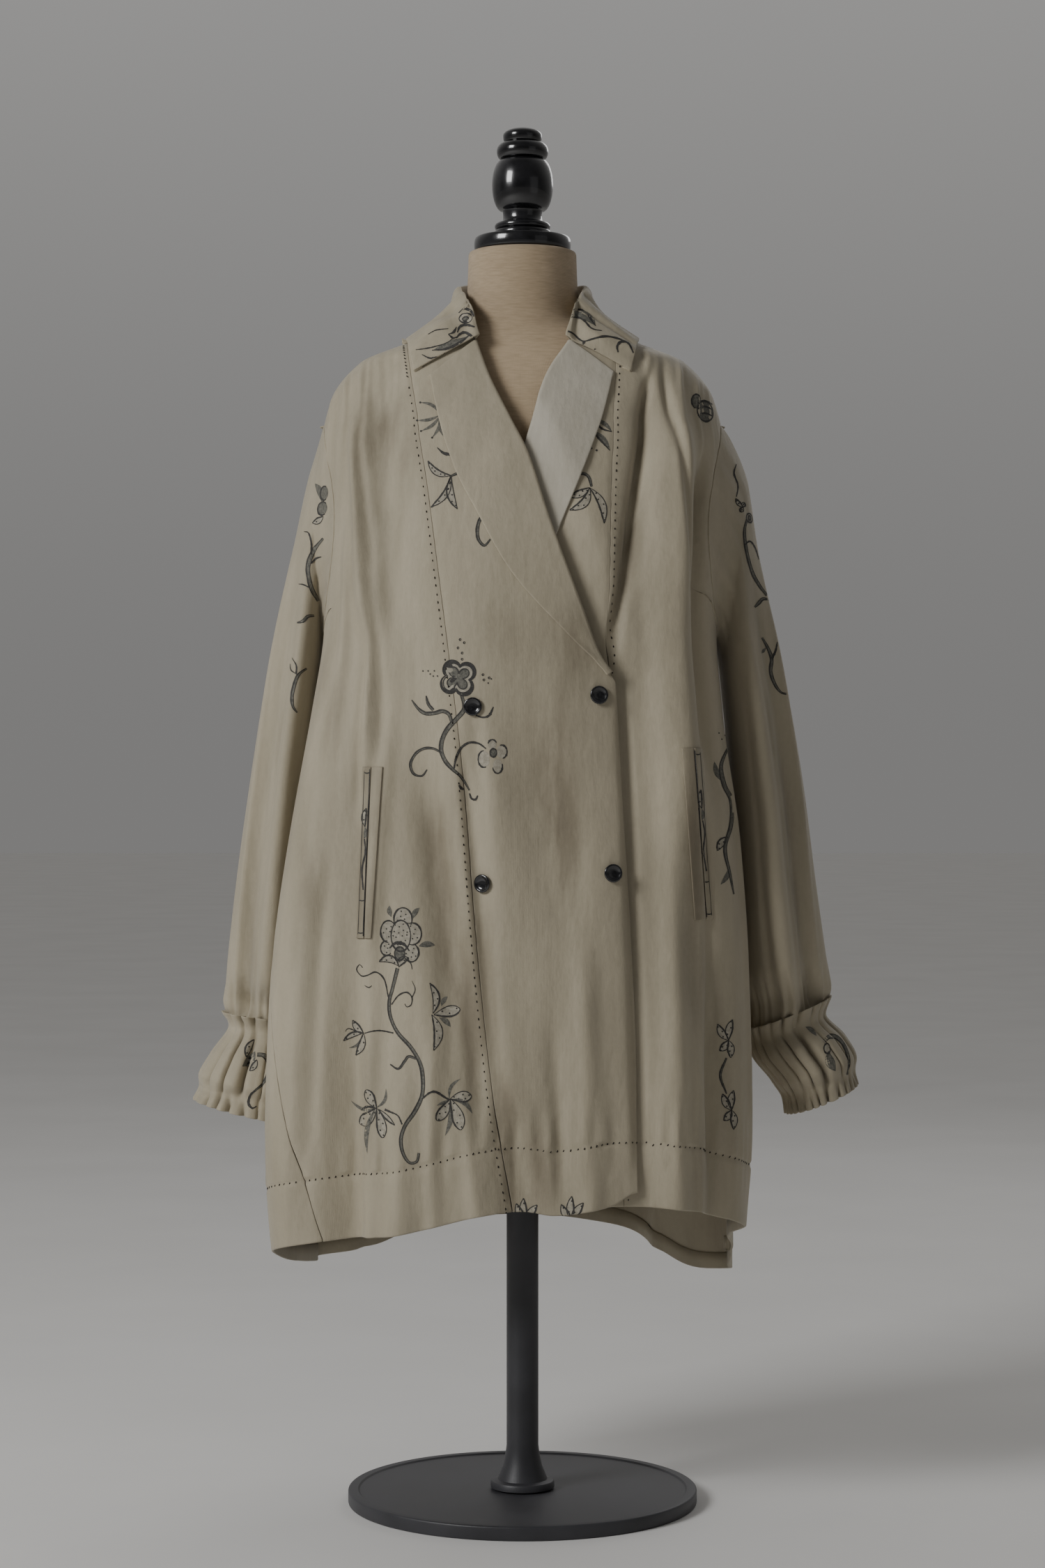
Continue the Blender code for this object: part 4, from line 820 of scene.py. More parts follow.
def stains_and_shade_of(points):
    """How strongly the stains stand at each point, from the stain tables: tea stains, and on the front also
    painted shade along fold valleys.
    """
    x, y, z = np.moveaxis(points.reshape(-1, 3), 1, 0)
    amount = np.zeros(len(x))
    for stains, here in ((FRONT_STAINS_AND_SHADE, y < 0.0), (BACK_STAINS, y >= 0.0)):
        for stain in stains:
            rise = z - stain.z
            off = (x - stain.x + stain.lean * rise) / stain.half_width
            spot = np.exp(-off ** 2 - (rise / stain.half_height) ** 2)
            amount += np.where(here, 0.8 * stain.strength * spot, 0.0)
    return amount


def panel_fields(column, height, turned):
    """Painted shade in the fold valleys, and weave coordinates, carried on into the turned edges."""
    painted_valley_shade = np.clip(-VALLEY_SHADE * fold_lift(column, height), 0.0, MOST_VALLEY_SHADE)
    fields = np.stack([painted_valley_shade, COLUMN * column, height], axis=-1)
    turned = ((SEAM_ROWS, FREE_ROWS), turned, (0, 0))
    return np.pad(fields, turned, mode="reflect", reflect_type="odd")


def cloth_piece(name, points, finish, looped=False, tea_and_shade=None, grain=None):
    """A sheet of silk from its outer side's points, with its wall on the inner side."""
    ring = np.concatenate([points, points[:, :1]], axis=1) if looped else points
    down_it = run_length(ring)
    across_it = run_length(ring, axis=1)
    across_it -= across_it[:, -1:] / 2
    weave = np.stack([across_it, -down_it], axis=-1) if grain is None else grain
    mesh = sheet_mesh(name, points, weave, looped)
    amount = stains_and_shade_of(points) if tea_and_shade is None else stains_and_shade_of(points) + tea_and_shade.ravel()
    mesh.attributes.new("tea_and_shade", "FLOAT", "POINT").data.foreach_set("value", amount.astype(np.float32))
    corners = [tuple(face.vertices) for face in mesh.polygons]
    outer_side[name] = BVHTree.FromPolygons([Vector(point) for point in points.reshape(-1, 3)], corners)
    piece = add_object(name, mesh)
    piece.data.materials.append(finish)
    wall = piece.modifiers.new("silk wall", "SOLIDIFY")
    wall.thickness = SILK_WALL
    wall.offset = -1.0
    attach(piece, "root")
    return piece


half_width = column_curve(BODY_RINGS, "height", "half_width")
front_depth = column_curve(BODY_RINGS, "height", "front_depth")
back_depth = column_curve(BODY_RINGS, "height", "back_depth")
hem_height = column_curve(HEM, "column", "height")
FULL_WIDTH = float(half_width(STRAIGHT_ABOVE))
RIDGE_HEIGHTS = np.linspace(BODY_RINGS[4].height, BODY_RINGS[0].height, 400)
RIDGE_WIDTHS = half_width(RIDGE_HEIGHTS)
ARMHOLE_TOP = float(ridge_height(1.0))
right_side = column_curve(RIGHT_SIDE, "height", "column")
left_side = column_curve(LEFT_SIDE, "height", "column")
outer_side = {}
ivory_silk = silk_cloth("washed_ivory_silk", IVORY, TEA_LIGHT)


def back_left(height):
    """Column of the back's edge on the wearer's left: its side seam, then its armhole."""
    return np.where(height > ARMHOLE_BOTTOM, 1.0 + armhole(height), left_side(height))


def back_right(height):
    """The same edge on the wearer's right."""
    return np.where(height > ARMHOLE_BOTTOM, 3.0 - armhole(height), 4.0 + right_side(height))


BACK_WIDTH = 0.62
BACK_DROP = 0.94
across = stations(BACK_WIDTH, 0.0052, fine_at=(0.0, BACK_WIDTH))
below = stations(
    BACK_DROP, 0.0054, fine_at=(0.0, BACK_DROP - HEM_DEPTH, BACK_DROP),
    finest_at=[BACK_DROP * armhole_end(rows[-1].height) for rows in (RIGHT_SIDE, LEFT_SIDE)])
u, t = np.meshgrid(across, below)
column, height = panel(
    lambda share: blend(1.0, 3.0, share),
    lambda share: ridge_height(blend(1.0, 3.0, share)), back_left, back_right, u, t)
points = sewn_panel(off_the_ridge(body(inset(u, column), height), 1))
fields = panel_fields(column, height, (SEAM_ROWS, SEAM_ROWS))
back = cloth_piece("silk_back", points, ivory_silk, tea_and_shade=fields[..., 0], grain=fields[..., 1:])
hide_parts("back")

# The front side panels
# Two outer front panels of the same silk, gathered into the shoulder seam and let out to the
# hem. Each is sewn to the back at its side and to a centre front down its other edge.
RIGHT_SEAM = (
    (1.180, -0.1180), (1.161, -0.1155), (1.000, -0.0912), (0.870, -0.0745), (0.720, -0.0560),
    (0.575, -0.0445), (0.410, -0.0270), (0.310, -0.0087), (0.250, -0.0010),
)
LEFT_SEAM = (
    (1.180, 0.0947), (1.130, 0.0916), (1.000, 0.0863), (0.900, 0.0846), (0.830, 0.0870),
    (0.600, 0.0900), (0.250, 0.1010),
)
LEFT_SEAM_TOP = 0.0945    # x of the left seam's upper end on the shoulder
RIGHT_FRONT_EDGE = (
    (0.830, 0.0895), (0.817, 0.0905), (0.720, 0.0958), (0.575, 0.1044), (0.450, 0.1092),
    (0.250, 0.1107),
)
Top = namedtuple("Top", "x height")
RIGHT_TOP = table(
    Top, (-0.1155, 1.1650), (-0.0900, 1.1770), (-0.0660, 1.1880), (-0.0610, 1.1810), (-0.0545, 1.1690),
    (-0.0470, 1.1550), (-0.0350, 1.1207), (-0.0126, 1.0736), (0.0025, 1.0430), (0.0250, 0.9740),
    (0.0550, 0.8920), (0.0735, 0.8430), (0.0900, 0.8180))
LAP_DEPTH_CHEST = 0.0088  # how far the left front is tucked in under the right one
LAP_DEPTH_SKIRT = 0.0050
LAP_CLEAR = 0.005         # the tuck is full this far outside the right front's edge
LAP_BLEND = 0.040
LAP_DEEPENS = 0.800
LAP_DEEP_OVER = 0.030
SMOOTHED = 6              # rows on each side that even out a seam's line
SIDE_WIDTH = 0.30
SIDE_DROP = 0.92


def found_between(low, high, shape, rounds, short):
    """Where a test of columns stops being true between two limits, found by halving."""
    low = np.full(shape, low)
    high = np.full(shape, high)
    for _ in range(rounds):
        middle = (low + high) / 2
        before = short(middle)
        low = np.where(before, middle, low)
        high = np.where(before, high, middle)
    return (low + high) / 2


def column_at(x, height):
    """Column of the front at which the folded surface has this x."""
    x, height = same_shape(x, height)
    return found_between(
        -1.0, 1.0, x.shape, 24, lambda column: wall_point(column, height)[..., 0] < x)


def edge_columns(rows):
    """Column of a seam or free edge at each height."""
    x_at = curve([row[0] for row in rows], [row[1] for row in rows])
    heights = np.linspace(rows[-1][0], rows[0][0], 160)
    under_ridge = np.minimum(heights, ridge_over(x_at(heights)) - 0.0005)
    columns = column_at(x_at(heights), under_ridge)
    columns = np.pad(columns, SMOOTHED, mode="reflect", reflect_type="odd")
    smoother = np.convolve(columns, np.ones(2 * SMOOTHED + 1) / (2 * SMOOTHED + 1), "valid")
    return lambda height: np.interp(height, heights, smoother)


def lap_edge(height):
    """x of the right front's free edge: its roll above the lapel's foot, then its edge."""
    rows = [(row.height, row.x) for row in RIGHT_TOP[5:]] + list(RIGHT_FRONT_EDGE[2:])
    return curve([row[0] for row in rows], [row[1] for row in rows])(height)


def tuck(x, height):
    """How far a piece of the left front lies inside the body's surface."""
    depth = blend(LAP_DEPTH_SKIRT, LAP_DEPTH_CHEST, smooth((height - LAP_DEEPENS) / LAP_DEEP_OVER))
    inside = smooth((lap_edge(height) + LAP_CLEAR + LAP_BLEND - x) / LAP_BLEND)
    return -depth * inside


def side_top(start, stop):
    """Top edge of a side panel, straight along the shoulder ridge."""
    return lambda share: ridge_height(blend(start, stop, share))


right_seam = edge_columns(RIGHT_SEAM)
left_seam = edge_columns(LEFT_SEAM)
across = stations(SIDE_WIDTH, 0.0036, fine_at=(0.0, SIDE_WIDTH))
below = stations(
    SIDE_DROP, 0.0052, fine_at=(0.0, SIDE_DROP - HEM_DEPTH, SIDE_DROP),
    finest_at=[SIDE_DROP * armhole_end(rows[-1].height) for rows in (RIGHT_SIDE, LEFT_SIDE)])
u, t = np.meshgrid(across, below)

start = float(right_seam(ridge_over(RIGHT_TOP[0].x)))
column, height = panel(
    lambda share: blend(-1.0, start, share), side_top(-1.0, start),
    lambda z: np.where(z > ARMHOLE_BOTTOM, -1.0 + armhole(z), right_side(z)), right_seam, u, t)
right_points = off_the_ridge(body(inset(u, column), height), -1)
right_fields = panel_fields(column, height, (SEAM_ROWS, SEAM_ROWS))

start = float(left_seam(ridge_over(LEFT_SEAM_TOP)))
column, height = panel(
    lambda share: blend(start, 1.0, share), side_top(start, 1.0), left_seam,
    lambda z: np.where(z > ARMHOLE_BOTTOM, 1.0 - armhole(z), left_side(z)), u, t)
column = inset(u, column)
x = wall_point(column, height)[..., 0]
left_points = off_the_ridge(body(column, height, tuck(x, height)), -1)
left_fields = panel_fields(column, height, (SEAM_ROWS, SEAM_ROWS))

for side, points, fields in (
        ("right", right_points, right_fields), ("left", left_points, left_fields)):
    front = cloth_piece("silk_front_side_" + side, sewn_panel(points), ivory_silk,
                        tea_and_shade=fields[..., 0], grain=fields[..., 1:])
    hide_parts("front_side_" + side)

# The centre fronts
# The right front laps over the left one, double-breasted, and both fold back above the
# buttons as lapels. The right front's lower corner is rounded and its edge is turned under.
LEFT_FRONT_EDGE = ((0.835, -0.0700), (0.720, -0.0640), (0.500, -0.0560), (0.250, -0.0480))
LEFT_TOP = table(
    Top, (-0.0700, 0.8300), (-0.0450, 0.8920), (-0.0200, 0.9740), (-0.0060, 1.0130), (0.0010, 1.0430),
    (0.0100, 1.0735), (0.0252, 1.1200), (0.0468, 1.1545), (0.0535, 1.1670), (0.0605, 1.1785),
    (0.0660, 1.1880), (0.0800, 1.1830), (0.0945, 1.1760))
CORNER_WIDTH = 0.040
CORNER_HEIGHT = 0.014
EDGE_ROLL = 0.0011
EDGE_FLAP = 0.010
TOP_ROLL = 0.0007
TOP_FLAP = 0.002
CENTRE_WIDTH = 0.20
CENTRE_DROP = 0.80


def top_edge(rows):
    """Columns and heights along the upper edge of a centre front."""
    x_at, height_at = row_curves(rows, "x height")
    shares = np.linspace(0.0, 1.0, 400)
    top_heights = np.minimum(height_at(shares), ridge_over(x_at(shares)))
    top_columns = column_at(x_at(shares), top_heights - 0.0005)
    return (
        lambda share: np.interp(share, shares, top_columns),
        lambda share: np.interp(share, shares, top_heights))


right_front_edge = edge_columns(RIGHT_FRONT_EDGE)
left_front_edge = edge_columns(LEFT_FRONT_EDGE)
across = stations(CENTRE_WIDTH, 0.0034, fine_at=(0.0, CENTRE_WIDTH))
below = stations(CENTRE_DROP, 0.0048, fine_at=(0.0, CENTRE_DROP, CENTRE_DROP - HEM_DEPTH))
u, t = np.meshgrid(across, below)

columns, heights = top_edge(RIGHT_TOP)
column, height = panel(columns, heights, right_seam, right_front_edge, u, t)
points = body(inset(u, column), height)
from_edge = float(wall_point(right_front_edge(0.32), 0.32)[0]) - points[..., 0]
corner = smooth(1.0 - from_edge / CORNER_WIDTH) ** 2 * smooth((t - 0.9) / 0.1)
points[..., 2] += CORNER_HEIGHT * corner
right_points = off_the_ridge(points, -1)
right_fields = panel_fields(column, height, (SEAM_ROWS, FREE_ROWS))

columns, heights = top_edge(LEFT_TOP)
column, height = panel(columns, heights, left_front_edge, left_seam, u, t)
column = inset(u, column)
x = wall_point(column, height)[..., 0]
left_points = off_the_ridge(body(column, height, tuck(x, height)), -1)
left_fields = panel_fields(column, height, (FREE_ROWS, SEAM_ROWS))

for side, points, fields, seam, free_edge, turned in (
        ("right", right_points, right_fields, "first", "last", (SEAM_ROWS, FREE_ROWS)),
        ("left", left_points, left_fields, "last", "first", (FREE_ROWS, SEAM_ROWS))):
    points = turn_under(seam_dip(points, seam), seam, SEAM_ROLL, SEAM_FLAP)
    points = turn_under(points, free_edge, EDGE_ROLL, EDGE_FLAP, half=True)
    points = turn_under(points, "top", TOP_ROLL, TOP_FLAP, turned=turned)
    points = turn_under(points, "hem", HEM_ROLL, HEM_FLAP, half=True, turned=turned)
    front = cloth_piece("silk_front_centre_" + side, points, ivory_silk,
                        tea_and_shade=fields[..., 0], grain=fields[..., 1:])
    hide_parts("front_centre_" + side)

# The lapels
# Long plain lapels, cut in one with a facing that rolls over the fronts' upper edges. The
# left one is of a cooler, bluish white silk.
Lapel = namedtuple("Lapel", "roll_x roll_z edge_x edge_z")
RIGHT_LAPEL = table(
    Lapel, (-0.0470, 1.1550, -0.0897, 1.1207), (-0.0350, 1.1207, -0.0800, 1.0740),
    (-0.0126, 1.0736, -0.0650, 1.0270), (0.0025, 1.0430, -0.0426, 0.9820),
    (0.0250, 0.9740, -0.0100, 0.9250), (0.0550, 0.8920, 0.0400, 0.8690),
    (0.0735, 0.8430, 0.0690, 0.8400), (0.0850, 0.8270, 0.0820, 0.8250))
LEFT_LAPEL = table(
    Lapel, (0.0468, 1.1545, 0.0880, 1.1235), (0.0252, 1.1200, 0.0776, 1.0810),
    (0.0100, 1.0735, 0.0586, 1.0276), (0.0010, 1.0430, 0.0400, 0.9820),
    (-0.0200, 0.9740, 0.0180, 0.9300), (-0.0450, 0.8920, -0.0260, 0.8700),
    (-0.0690, 0.8400, -0.0600, 0.8350))
LAPEL_LAY = 0.0012
LAPEL_LIFT = 0.0003
LEFT_LAPEL_LAY = 0.0005
LAPEL_ROLL = 0.0026
LAPEL_FLAP = 0.005
LAPEL_EDGE_ROLL = 0.0010
LAPEL_EDGE_FLAP = 0.004
LAPEL_TOP_ROLL = 0.0009
COOL_WHITE = (0.535, 0.497, 0.410)
COOL_WASHED = (0.458, 0.420, 0.334)
cool_silk = silk_cloth("washed_cool_silk", COOL_WHITE, COOL_WASHED)


def lapel_points(rows, u, t, roll_at, lapped):
    """A lapel lies on its front, from its roll to its outer edge."""
    roll_x, roll_z, edge_x, edge_z = row_curves(rows, "roll_x roll_z edge_x edge_z")
    share = np.abs(u - roll_at)
    x = blend(roll_x(t), edge_x(t), share)
    height = blend(roll_z(t), edge_z(t), share)
    out = CLOTH + LAPEL_LAY + LAPEL_LIFT * smooth(share * 3.0)
    if lapped:
        out = out + tuck(x, height) + LEFT_LAPEL_LAY
    ripple = np.sin(38.0 * t + 5.0 * share) * np.sin(13.0 * t + 1.0)
    out = out + 0.0007 * ripple * share * smooth((1.0 - t) / 0.2)
    return body(column_at(x, height), height, out)


across = stations(0.05, 0.0026, fine_at=(0.0, 0.05), fine=0.0010, reach=0.006)
below = stations(0.36, 0.0034)
u, t = np.meshgrid(across, below)
for side, rows, roll_at, roll_edge, free_edge, finish, slot in (
        ("right", RIGHT_LAPEL, 1.0, "last", "first", ivory_silk, "silk"),
        ("left", LEFT_LAPEL, 0.0, "first", "last", cool_silk, "cool_silk")):
    points = lapel_points(rows, u, t, roll_at, side == "left")
    points = turn_under(points, free_edge, LAPEL_EDGE_ROLL, LAPEL_EDGE_FLAP, half=True)
    points = turn_under(points, roll_edge, LAPEL_ROLL, LAPEL_FLAP, half=True)
    points = turn_under(points, "top", LAPEL_TOP_ROLL, TOP_FLAP, half=True, turned=(FREE_ROWS, FREE_ROWS))
    lapel = cloth_piece("silk_lapel_" + side, points, finish)
    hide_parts("lapel_" + side)

# The collar
# A small turned collar of two layers, stand and fall in one band, sewn round the neckline
# and rolled over by hand.
Station = namedtuple("Station", "neck_x neck_y neck_z roll_x roll_y roll_z fall_x fall_y fall_z")
COLLAR = table(
    Station, (0.0470, -0.0660, 1.1570, 0.0415, -0.0745, 1.1630, 0.1060, -0.0752, 1.1275),
    (0.0550, -0.0535, 1.1740, 0.0500, -0.0580, 1.1960, 0.1115, -0.0635, 1.1500),
    (0.0612, -0.0245, 1.1855, 0.0575, -0.0270, 1.2130, 0.1155, -0.0330, 1.1635),
    (0.0624, 0.0040, 1.1860, 0.0605, 0.0040, 1.2245, 0.1165, 0.0020, 1.1665),
    (0.0445, 0.0440, 1.1860, 0.0480, 0.0480, 1.2320, 0.0800, 0.0700, 1.1620),
    (0.0000, 0.0584, 1.1860, 0.0000, 0.0660, 1.2350, 0.0000, 0.0880, 1.1680))
COLLAR_SAG = 0.013        # how far the fall's middle hangs in towards the neck
COLLAR_LENGTH = 0.46
COLLAR_WIDTH = 0.11
COLLAR_ROLL = 0.0010
COLLAR_FLAP = 0.006
Crease = namedtuple("Crease", "name along down end_along end_down half_width depth")
COLLAR_CREASES = table(
    Crease,
    ("left, under the roll", 0.004, 0.076, 0.050, 0.066, 0.0052, -0.0040),
    ("left, ridge below it", 0.020, 0.088, 0.036, 0.104, 0.0080, 0.0030),
    ("left, down the fall", 0.050, 0.066, 0.058, 0.104, 0.0062, -0.0038),
    ("left, at the shoulder", 0.088, 0.070, 0.094, 0.106, 0.0070, -0.0020),
    ("back left", 0.170, 0.062, 0.186, 0.100, 0.0070, -0.0020),
    ("back middle", 0.226, 0.060, 0.218, 0.092, 0.0060, 0.0016),
    ("back right", 0.284, 0.062, 0.270, 0.102, 0.0070, -0.0020),
    ("right, at the shoulder", 0.366, 0.066, 0.360, 0.104, 0.0070, -0.0020),
    ("right, beside the roll", 0.392, 0.082, 0.450, 0.078, 0.0054, -0.0038),
    ("right, first across", 0.404, 0.056, 0.410, 0.074, 0.0034, -0.0026),
    ("right, second across", 0.416, 0.056, 0.423, 0.074, 0.0034, -0.0028),
    ("right, third across", 0.430, 0.056, 0.437, 0.074, 0.0036, -0.0026),
    ("right, ridge at the end", 0.440, 0.086, 0.424, 0.104, 0.0070, 0.0020))


def between(before, here, after, later, share):
    """Places between the middle two of four points on a smooth line through all of them."""
    bent = 2 * before - 5 * here + 4 * after - later + share * (3 * (here - after) + later - before)
    return here + 0.5 * share * (after - before + share * bent)


def collar_points(u, t):
    """Stand, rounded roll and fall of the collar, as one band from its left to its right end."""
    other = [row._replace(neck_x=-row.neck_x, roll_x=-row.roll_x, fall_x=-row.fall_x)
             for row in COLLAR[-2::-1]]
    rows = list(COLLAR) + other
    lines = []
    for edge in ("neck", "roll", "fall"):
        reads = row_curves(rows, " ".join(edge + "_" + axis for axis in "xyz"))
        lines.append(np.stack([read(u[0]) for read in reads], axis=-1))
    neck, roll, fall = lines
    before = blend(neck, roll, 0.80)
    after = blend(roll, fall, 0.14)
    crown = before * 0.25 + roll * 0.5 + after * 0.25
    middle = blend(neck, roll, 0.4)
    outward_way = unit(fall * (1.0, 1.0, 0.0))
    sag = COLLAR_SAG * smooth((fall[..., 1:2] + 0.055) / 0.05)
    hanging = blend(roll, fall, 0.55) - sag * outward_way
    stops = [neck, middle, before, crown, after, hanging, fall]
    stops = [2 * stops[0] - stops[1]] + stops + [2 * stops[-1] - stops[-2]]
    place = t[:, 0] * 6 + 1
    first = np.clip(place.astype(int), 1, 6)
    share = (place - first)[:, None, None]
    grid = np.stack(stops)
    return between(grid[first - 1], grid[first], grid[first + 1], grid[first + 2], share)


def crease_lift(creases, along, down):
    """Height of soft creases, each a trough or ridge along a short line in the cloth."""
    lift = np.zeros(along.shape)
    for row in creases:
        run = (row.end_along - row.along, row.end_down - row.down)
        way = ((along - row.along) * run[0] + (down - row.down) * run[1]) / (run[0] ** 2 + run[1] ** 2)
        way = np.clip(way, 0.0, 1.0)
        away = np.hypot(along - row.along - way * run[0], down - row.down - way * run[1])
        lift += row.depth * np.exp(-(away / row.half_width) ** 2)
    return lift


across = stations(COLLAR_LENGTH, 0.0026)
below = stations(COLLAR_WIDTH, 0.0022)
u, t = np.meshgrid(across, below)
points = collar_points(u, t)
normal = outward(points)
points = points + crease_lift(COLLAR_CREASES, COLLAR_LENGTH * u, COLLAR_WIDTH * t)[..., None] * normal
ripple = np.sin(41.0 * u + 1.3 * np.sin(23.0 * u)) + 0.6 * np.sin(67.0 * u + 6.0 * t)
points = points + (0.0008 * ripple * smooth(t / 0.5) * smooth((1.0 - t) / 0.3 + 0.4))[..., None] * normal
for edge, turned in (("first", (0, 0)), ("last", (0, 0)), ("hem", (FREE_ROWS, FREE_ROWS))):
    points = turn_under(points, edge, COLLAR_ROLL, COLLAR_FLAP, half=True, turned=turned)
collar = cloth_piece("silk_collar", points, ivory_silk)
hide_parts("collar")

# The sleeves
# Long full sleeves, set into dropped armholes with small gathers and drawn in to the cuffs.
# Each is one piece of silk with a seam underneath.
SleeveRing = namedtuple("SleeveRing", "outer_x outer_z inner_x inner_z depth")
RIGHT_SLEEVE = table(
    SleeveRing, (0.2070, 1.0600, 0.196, 0.868, 0.062), (0.2165, 1.0350, 0.198, 0.845, 0.068),
    (0.2300, 0.9720, 0.200, 0.815, 0.074), (0.2405, 0.9168, 0.202, 0.780, 0.076),
    (0.2550, 0.8380, 0.206, 0.720, 0.077), (0.2665, 0.7594, 0.209, 0.670, 0.077),
    (0.2835, 0.6255, 0.213, 0.580, 0.075), (0.2925, 0.5350, 0.214, 0.520, 0.068),
    (0.2950, 0.4990, 0.218, 0.490, 0.0426), (0.2958, 0.4745, 0.219, 0.4645, 0.0426))
LEFT_SLEEVE = table(
    SleeveRing, (0.2180, 1.0720, 0.196, 0.868, 0.062), (0.2290, 1.0190, 0.200, 0.830, 0.070),
    (0.2375, 0.9600, 0.203, 0.800, 0.074), (0.2475, 0.9010, 0.205, 0.780, 0.075),
    (0.2595, 0.8380, 0.208, 0.740, 0.076), (0.2790, 0.7120, 0.213, 0.660, 0.076),
    (0.2890, 0.6250, 0.216, 0.590, 0.075), (0.2985, 0.5520, 0.2205, 0.530, 0.068),
    (0.3035, 0.5120, 0.230, 0.490, 0.0430), (0.3045, 0.4875, 0.2315, 0.4605, 0.0430))
SleeveFold = namedtuple("SleeveFold", "name turn_top turn_end first full half_width depth")
SLEEVE_FOLDS = table(
    SleeveFold,
    ("outer ridge", -0.10, -0.02, 0.10, 0.50, 0.060, 0.0088),
    ("front valley", -0.17, -0.13, 0.05, 0.45, 0.050, -0.0112),
    ("front ridge", -0.26, -0.24, 0.15, 0.60, 0.060, 0.0100),
    ("back valley", 0.14, 0.12, 0.05, 0.45, 0.050, -0.0100),
    ("back ridge", 0.24, 0.25, 0.15, 0.60, 0.070, 0.0100),
    ("front crease a", -0.21, -0.19, 0.20, 0.50, 0.014, -0.0047),
    ("front crease b", -0.07, -0.10, 0.12, 0.40, 0.014, 0.0043),
    ("front crease c", -0.31, -0.30, 0.30, 0.70, 0.016, -0.0054),
    ("outer crease", 0.03, 0.05, 0.15, 0.55, 0.014, -0.0043),
    ("back crease a", 0.19, 0.18, 0.15, 0.50, 0.014, 0.0047),
    ("back crease b", 0.33, 0.34, 0.20, 0.60, 0.018, -0.0050))
RIGHT_ARM_Y = 0.045       # the arms hang a little behind the body's middle
LEFT_ARM_Y = 0.030
ARM_CLEAR = 0.0050        # space between the arms and the body
WRIST_CLEAR = 0.0035
HEAD_LAY = 0.0003
HEAD_FLAP = 0.001
SLEEVE_HEAD = 0.10
SLEEVE_COLUMNS = 132


def side_reach(y, height, side):
    """How far out the body's side is at a depth and a height."""
    column = found_between(
        0.3, 1.7, y.shape, 20, lambda column: wall_point(side * column, height)[..., 1] < y)
    return np.abs(wall_point(side * column, height)[..., 0])


def clear_of_body(points, side, clearance):
    """Push an arm's points out, so that they pass beside the body."""
    reach = side_reach(points[..., 1], points[..., 2], side) + clearance
    beyond = side * points[..., 0] - reach
    points[..., 0] = side * (reach + 0.5 * (beyond + np.sqrt(beyond ** 2 + 0.003 ** 2)))
    return points


def tube_ring(rows, side, arm_y, turn, t):
    """Point of a ring seen from the front as a tilted line, with its middle and half line."""
    fields = "outer_x outer_z inner_x inner_z depth"
    outer_x, outer_z, inner_x, inner_z, depth = [read(t) for read in row_curves(rows, fields)]
    zero = np.zeros(np.shape(t))
    middle = np.stack([side * (outer_x + inner_x) / 2, zero + arm_y, (outer_z + inner_z) / 2], -1)
    half = np.stack([side * (outer_x - inner_x) / 2, zero, (outer_z - inner_z) / 2], -1)
    backward = np.stack([zero, depth, zero], -1)
    spoke = half * np.cos(turn)[..., None] + backward * np.sin(turn)[..., None]
    return middle, spoke


def sleeve_points(rows, side, arm_y, u, t):
    """A sleeve from its set-in head to its gathered end, with the lift of its folds."""
    turn = side * 2 * math.pi * u
    middle, spoke = tube_ring(rows, side, arm_y, turn, t)
    lift = np.zeros(np.shape(t))
    for fold in SLEEVE_FOLDS:
        way = np.clip((t - fold.first) / (1.0 - fold.first), 0.0, 1.0)
        place = blend(fold.turn_top, fold.turn_end, way)
        away = (side * u - place + 0.5) % 1.0 - 0.5
        growth = smooth((t - fold.first) / (fold.full - fold.first)) * smooth((1.0 - t) / 0.12)
        lift = lift + fold.depth * growth * np.exp(-(away / fold.half_width) ** 2)
    around = side * turn
    head = np.sin(17 * around + 1.4 * np.sin(3 * around)) + 0.6 * np.sin(26 * around + np.sin(5 * around))
    wrist = np.sin(21 * around + 1.2 * np.sin(4 * around)) + 0.7 * np.sin(33 * around + np.sin(3 * around))
    lift = lift + 0.0012 * head * smooth(t / 0.03) * (1.0 - smooth(t / 0.20))
    lift = lift + 0.0016 * wrist * smooth((t - 0.76) / 0.14) * smooth((1.0 - t) / 0.04)
    length = np.linalg.norm(spoke, axis=-1)
    points = middle + spoke * (1.0 + lift / length)[..., None]
    points = clear_of_body(points, side, ARM_CLEAR + WRIST_CLEAR * smooth((t - 0.8) / 0.2))
    height = blend(ARMHOLE_BOTTOM, ARMHOLE_TOP, 0.5 + 0.5 * np.cos(turn))
    cut = armhole(height) * np.sign(np.sin(turn))
    column = side * (1.0 + cut - SEAM_SPACE / 2 / COLUMN * np.sin(turn))
    height = height - SEAM_SPACE / 2 * np.cos(turn)
    set_in = body(column, np.minimum(height, ridge_height(column)), HEAD_LAY + 0.3 * lift)
    return blend(set_in, points, smooth(t / SLEEVE_HEAD)[..., None]), lift


around = np.arange(SLEEVE_COLUMNS) / SLEEVE_COLUMNS
below = stations(0.60, 0.0054, fine_at=(0.0,))
u, t = np.meshgrid(around, below)
for side, way, rows, arm_y in (
        ("right", -1, RIGHT_SLEEVE, RIGHT_ARM_Y), ("left", 1, LEFT_SLEEVE, LEFT_ARM_Y)):
    points, lift = sleeve_points(rows, way, arm_y, u, t)
    points = turn_under(points, "top", SEAM_ROLL, HEAD_FLAP)
    # The sleeve's fold valleys get painted shade.
    painted_valley_shade = np.pad(np.clip(-VALLEY_SHADE * lift, 0.0, MOST_VALLEY_SHADE), ((SEAM_ROWS, 0), (0, 0)), mode="edge")
    sleeve = cloth_piece("silk_sleeve_" + side, points, ivory_silk, looped=True, tea_and_shade=painted_valley_shade)
    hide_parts("sleeve_" + side)

